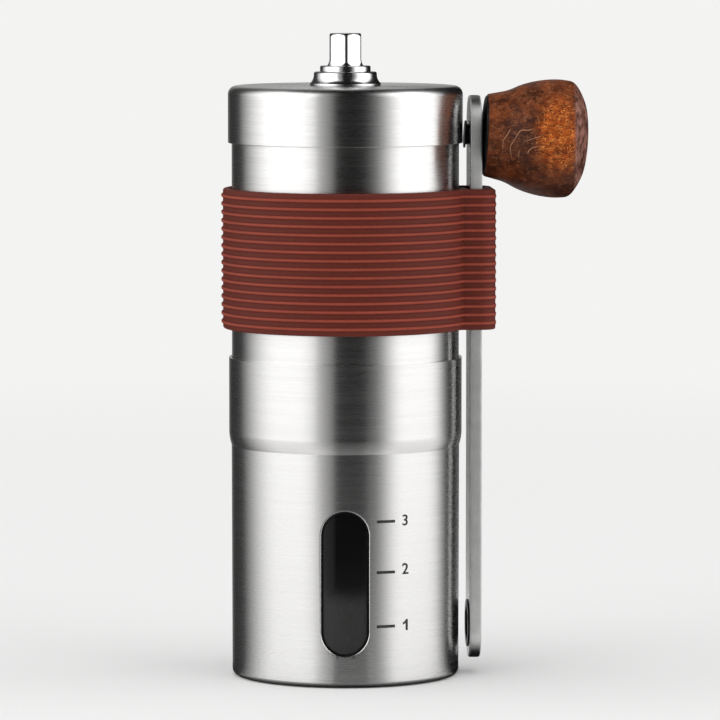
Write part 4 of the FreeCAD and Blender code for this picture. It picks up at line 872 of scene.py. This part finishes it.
arm = bmesh.new()
low_centre = Vector((ARM_INSIDE, 0, ARM_LOW + ARM_HALF)) * MM
high_centre = Vector((ARM_INSIDE, 0, ARM_HIGH - ARM_HALF)) * MM
first = arm.verts.new(low_centre + Vector((0, ARM_HALF * MM, 0)))
low_end = arc(arm, first, low_centre, (1, 0, 0), -math.pi, 40)
high_start = arm.verts.new(high_centre - Vector((0, ARM_HALF * MM, 0)))
arm.edges.new((low_end, high_start))
high_end = arc(arm, high_start, high_centre, (1, 0, 0), -math.pi, 40)
arm.edges.new((high_end, first))
face = bmesh.ops.contextual_create(arm, geom=arm.edges[:])["faces"]
pull(arm, (ARM_THICKNESS * MM, 0, 0), faces=face)
bmesh.ops.recalc_face_normals(arm, faces=arm.faces)
rims = [edge for edge in arm.edges if abs(edge.verts[0].co.x - edge.verts[1].co.x) < TOUCHING]
bevel(arm, rims, 0.45, 5, "EDGES")
bmesh.ops.rotate(arm, verts=arm.verts, cent=(0, 0, 0), matrix=Matrix.Rotation(CRANK_TURN, 3, "Z"))
socket_place = Matrix.Rotation(CRANK_TURN, 4, "Z") @ Matrix.Translation(
    Vector((ARM_INSIDE + ARM_THICKNESS / 2, 0, SOCKET_HEIGHT)) * MM) @ Matrix.Rotation(math.pi / 2, 4, "Y")
arm = cut_away(arm, drill(SOCKET_HOLE, socket_place, 96), drill(PIN_HOLE, KNOB_PLACE, 64))
round_edges(piece(arm, "satin_arm", "crank", satin_steel, "crank_arm"), 0.1)

# %% [markdown]
# The knob is wood turned on a lathe: a narrow neck, a swelling belly, a soft brow and a bevelled, slightly
# domed end. It is spun upright like the other turned pieces, and then laid on its own axis, which droops a
# little and follows the crank's small turn.

# %% Wooden knob
WOOD_START = 1.05

knob = spun([
    (3.7, WOOD_START, 0.15), (8.4, WOOD_START, 0.25), (9.4, 5.45, 1.2), (12.695, 11.43, 5.55),
    (11.88, 18.25, 0.4), (11.28, 19.05, 0.3), (9.11, 20.77, 2.3), (6.43, 21.45, 0.4), (3.28, 22.03, 2.7),
    (0.0, 22.03, 0.0), (0.0, 15.0, 0.0), (3.7, 15.0, 0.0),
], steps=192, round_segments=10)
bmesh.ops.transform(knob, matrix=KNOB_PLACE, verts=knob.verts)
even_light(piece(knob, "turned_knob", "knob", knob_wood, "wood_knob"))

# %% [markdown]
# A black cap closes the knob's inner end. Seen edge-on it isn't flat: it rises towards the arm like a
# shallow dish, so the dark gap beside the arm is widest in its middle.

# %% Knob cap
cap = spun([
    (3.7, 0.3, 0.1), (4.6, 0.32, 0.4), (7.9, 0.72, 0.12),
    (8.1, 0.92, 0.08), (8.1, WOOD_START, 0.05), (3.7, WOOD_START, 0.05),
], steps=128)
bmesh.ops.transform(cap, matrix=KNOB_PLACE, verts=cap.verts)
even_light(piece(cap, "black_cap", "knob", dark_steel, "knob_cap"))

# %% [markdown]
# The filling marks are printed on the cup: three short lines, each with its number. They are real pieces,
# a few hundredths of a millimetre thick, so they stay sharp close up. Each is made flat and then wrapped on
# the cup's wall like the window's dark ring, so that its ends don't stand off. The 2 and the 3 come from
# Blender's own font. Its 1 is a plain bar, so the 1 with its flag is drawn from a few corners.

# %% Filling marks
MARKS = {"1": (12.5, 12.3, 0.12), "2": (23.5, 12.1, 0.55), "3": (33.8, 12.15, 0.12)}
MARK_RADIUS = 23.35
INK_THICKNESS = 0.03
LINE_START, LINE_END, LINE_WIDTH = 6.5, 10.4, 0.56
NUMBERS_END = 15.3
NUMBER_HEIGHT = 2.25
ONE = [
    (0.30, 0.0), (0.48, 0.0), (0.48, 1.0), (0.35, 1.0), (0.20, 0.82),
    (0.0, 0.70), (0.0, 0.53), (0.17, 0.60), (0.30, 0.71),
]


def printed(mesh, name):
    """Gives a flat mesh strips, a thickness and the wall's curve."""
    wrap(mesh, MARK_RADIUS, INK_THICKNESS, LINE_START, NUMBERS_END)
    piece(mesh, name, "cup", mark_ink).data.shade_flat()


def drawn_number(digit):
    """A number as a flat mesh of the font's size."""
    mesh = bmesh.new()
    if digit == "1":
        mesh.faces.new([mesh.verts.new((x, y, 0.0)) for x, y in ONE])
        return mesh
    words = bpy.data.curves.new("number", "FONT")
    words.body = digit
    words.size = 1.0
    words.offset = 0.012
    words.resolution_u = 6
    text = put("number", words)
    flat = bpy.data.meshes.new_from_object(text.evaluated_get(bpy.context.evaluated_depsgraph_get()))
    mesh.from_mesh(flat)
    bpy.data.objects.remove(text)
    bpy.data.meshes.remove(flat)
    return mesh


for digit, (height, number_start, lift) in MARKS.items():
    line = bmesh.new()
    bmesh.ops.create_grid(
        line, x_segments=1, y_segments=1, size=0.5,
        matrix=Matrix.Translation(((LINE_START + LINE_END) / 2 * MM, 0, height * MM))
        @ Matrix.Rotation(math.pi / 2, 4, "X")
        @ Matrix.Diagonal(((LINE_END - LINE_START) * MM, LINE_WIDTH * MM, 1, 1)),
    )
    printed(line, "mark_line_" + digit)

    number = drawn_number(digit)
    left = min(vert.co.x for vert in number.verts)
    low = min(vert.co.y for vert in number.verts)
    tall = max(vert.co.y for vert in number.verts) - low
    bmesh.ops.translate(number, verts=number.verts, vec=(-left, -low - tall / 2, 0))
    bmesh.ops.scale(number, verts=number.verts, vec=(NUMBER_HEIGHT / tall * MM,) * 3)
    bmesh.ops.rotate(number, verts=number.verts, cent=(0, 0, 0), matrix=Matrix.Rotation(math.pi / 2, 3, "X"))
    bmesh.ops.translate(number, verts=number.verts, vec=(number_start * MM, 0, (height + lift) * MM))
    printed(number, "mark_number_" + digit)

# %% [markdown]
# The grinder stands on a plain pale floor in a pale room. Both look white, also in mirrors, but light
# things less than that, so the steel's bright strips don't clip. A bent backdrop would do for one view, but
# a floor that fades into the world's colour looks the same from every side. Near the grinder it keeps its
# shaded surface, and with it the soft shadow.

# %% Stage: world and floor
PALE = (0.90, 0.895, 0.89, 1.0)
WORLD_LIGHT = 0.58
METRES = (1000.0, 1000.0, 1000.0)

world = bpy.data.worlds.new("studio")
scene.world = world
world.use_nodes = True
tree = world.node_tree
background = tree.nodes["Background"]
background.inputs["Color"].default_value = PALE
path = add(tree, "ShaderNodeLightPath").outputs
mirrored = maths(tree, "MAXIMUM", path["Is Glossy Ray"], path["Is Transmission Ray"])
seen = maths(tree, "MAXIMUM", path["Is Camera Ray"], mirrored)
feed(tree, background, Strength=rescale(tree, seen, 0.0, 1.0, WORLD_LIGHT, 1.0))


def stage_piece(mesh, name):
    """An object that belongs to the stage and not to the grinder."""
    thing = put(name, as_mesh(mesh, name))
    return thing


floor = bmesh.new()
bmesh.ops.create_circle(floor, cap_ends=True, segments=96, radius=14.0)
floor = stage_piece(floor, "floor")
floor_finish, tree, shader = new_finish(
    "floor", Base_Color=(0.86, 0.86, 0.86, 1.0), Roughness=0.8, Specular_IOR_Level=0.0
)
far = length_of(tree, places(tree, METRES))
white = add(tree, "ShaderNodeEmission", {"Color": PALE})
path = add(tree, "ShaderNodeLightPath").outputs
in_picture = times(tree, path["Is Camera Ray"], rescale(tree, far, 0.1, 0.7, 0.0, 1.0))
mirrored = maths(tree, "MAXIMUM", path["Is Glossy Ray"], path["Is Transmission Ray"])
mirrored = times(tree, mirrored, rescale(tree, far, 0.025, 0.12, 0.0, 1.0))
share = maths(tree, "MAXIMUM", in_picture, mirrored)
mixed = add(tree, "ShaderNodeMixShader", {0: share, 1: shader.outputs[0], 2: white.outputs[0]})
feed(tree, tree.nodes["Material Output"], Surface=mixed.outputs[0])
floor.data.materials.append(floor_finish)
print("floor radius in m:", round(floor.dimensions.x / 2, 2))


# %% [markdown]
# Two large soft lamps stand at the sides and draw the two broad bright strips in the steel. A third hangs
# above and only fills: the photograph's lid mirrors none. Each lamp is given by how bright its face looks,
# where one is white, so that its size can change without its look.

# %% Stage: lamps
def softbox(name, azimuth, width, height, distance, centre_height, radiance):
    """An area lamp that faces the grinder from an azimuth, in degrees from the camera's side."""
    lamp = bpy.data.lights.new(name, "AREA")
    lamp.shape = "RECTANGLE"
    lamp.size = width
    lamp.size_y = height
    lamp.energy = radiance * math.pi * width * height
    thing = put(name, lamp)
    angle = math.radians(azimuth)
    thing.location = (distance * math.sin(angle), -distance * math.cos(angle), centre_height)
    towards = Vector((-thing.location.x, -thing.location.y, 0)) if distance > 0.1 else Vector((0, 0, -1))
    thing.rotation_euler = towards.to_track_quat("-Z", "Y").to_euler()
    thing.visible_camera = False
    print(name, "power in W:", round(lamp.energy, 2))
    return thing


softbox("softbox_left", -76.0, 2.2, 1.5, 1.0, 0.77, 0.98)
softbox("softbox_right", 75.0, 1.9, 1.5, 1.0, 0.77, 0.98)
softbox("softbox_above", 0.0, 1.6, 1.6, 0.05, 1.6, 0.8).visible_glossy = False

# %% [markdown]
# Steel shows nothing but its surroundings. The photograph's steel has dark bands with soft sides: cloths
# in front, at the back and at the side, and a dark ceiling. They could be sheets of their own, but one
# round tent is easier to adjust: its material is cloth in some directions and open air in the others. Only
# reflections see it, so it takes no light from anything. A plain cloth would end in the steel with a hard
# line, so each thins out towards its sides, like gauze. In front it is also thinner near the floor. A
# narrow ring at the foot draws the dark line of the base.

# %% Stage: dark tent
TENT_OUTLINE = [(0.02255, 0.0001), (0.033, 0.0001), (0.93, 0.0001), (0.95, 0.03), (0.95, 1.6), (0.0, 1.9)]
CUP_WALL = 0.0234
MIRROR_TURN = 0.62

tent = bmesh.new()
points = [tent.verts.new((0.0, -reach, height)) for reach, height in TENT_OUTLINE]
for pair in zip(points, points[1:]):
    tent.edges.new(pair)
spin_round(tent, 96)
bmesh.ops.remove_doubles(tent, verts=tent.verts, dist=1e-6)
tent = stage_piece(tent, "tent")
tent.visible_camera = False
tent.visible_diffuse = False
tent.visible_transmission = False
tent.visible_shadow = False

tent_cloth, tree, shader = new_finish(
    "tent_cloth", Base_Color=(0.01, 0.01, 0.01, 1.0), Roughness=0.9, Specular_IOR_Level=0.0
)
metres = places(tree, METRES)
azimuth = maths(tree, "ARCTAN2", part_of(tree, metres, "X"), times(tree, part_of(tree, metres, "Y"), -1.0))
away = length_of(tree, metres)
print("faces of the tent:", len(tent.data.polygons))

# %% [markdown]
# Each cloth is one row of a table: the azimuths, in degrees from the camera's side, between which its left
# side thickens and its right side thins, its density, and how far its sides lean between floor and wall. A
# mirrored ray leaves the cup's wall and not the axis, so a near spot's azimuth is corrected by how far
# round the cup that ray starts.

# %% Stage: the tent's cloths
CLOTHS = [
    (-48.0, -3.0, 28.0, 60.0, 0.88, 0.0, 2.0),
    (-12.5, -10.5, 21.0, 25.0, 1.0, 0.0, 4.5),
    (102.0, 132.0, 169.0, 192.0, 1.0, -11.0, 0.0),
    (-205.0, -153.0, -124.0, -118.0, 0.97, 0.0, -9.0),
    (-205.0, -153.0, -132.0, -71.0, 0.97, 0.0, -5.0),
]

start = times(tree, maths(tree, "SINE", times(tree, azimuth, MIRROR_TURN)), CUP_WALL)
start = maths(tree, "ARCSINE", maths(tree, "DIVIDE", start, away))
degrees = times(tree, maths(tree, "ADD", azimuth, start), 180 / math.pi)
high = rescale(tree, away, 0.5, 0.96, 0.0, 1.0)
thick = rescale(tree, part_of(tree, metres, "Z"), 1.6, 1.61, 0.0, 1.0)
for clear_before, dark_from, dark_to, clear_after, most, left_lean, right_lean in CLOTHS:
    left = maths(tree, "SUBTRACT", degrees, times(tree, high, left_lean))
    right = maths(tree, "SUBTRACT", degrees, times(tree, high, right_lean))
    rise = rescale(tree, left, clear_before, dark_from, 0.0, most, "SMOOTHSTEP")
    fall = rescale(tree, right, dark_to, clear_after, 1.0, 0.0, "SMOOTHSTEP")
    thick = maths(tree, "MAXIMUM", thick, times(tree, rise, fall))
in_front = maths(tree, "LESS_THAN", maths(tree, "ABSOLUTE", azimuth), math.radians(60.0))
near_floor = times(tree, in_front, rescale(tree, away, 0.25, 0.03, 0.0, 0.28))
foot_ring = rescale(tree, away, 0.0275, CUP_WALL, 0.0, 0.97)
thick = maths(tree, "MAXIMUM", maths(tree, "SUBTRACT", thick, near_floor), foot_ring)
open_air = add(tree, "ShaderNodeBsdfTransparent")
mixed = add(tree, "ShaderNodeMixShader", {0: thick, 1: open_air.outputs[0], 2: shader.outputs[0]})
feed(tree, tree.nodes["Material Output"], Surface=mixed.outputs[0])
tent.data.materials.append(tent_cloth)
print("cloths:", len(CLOTHS), "nodes:", len(tree.nodes))

# %% [markdown]
# Colours are shown as they are, by the Standard view.

# %% Colours
scene.view_settings.view_transform = "Standard"
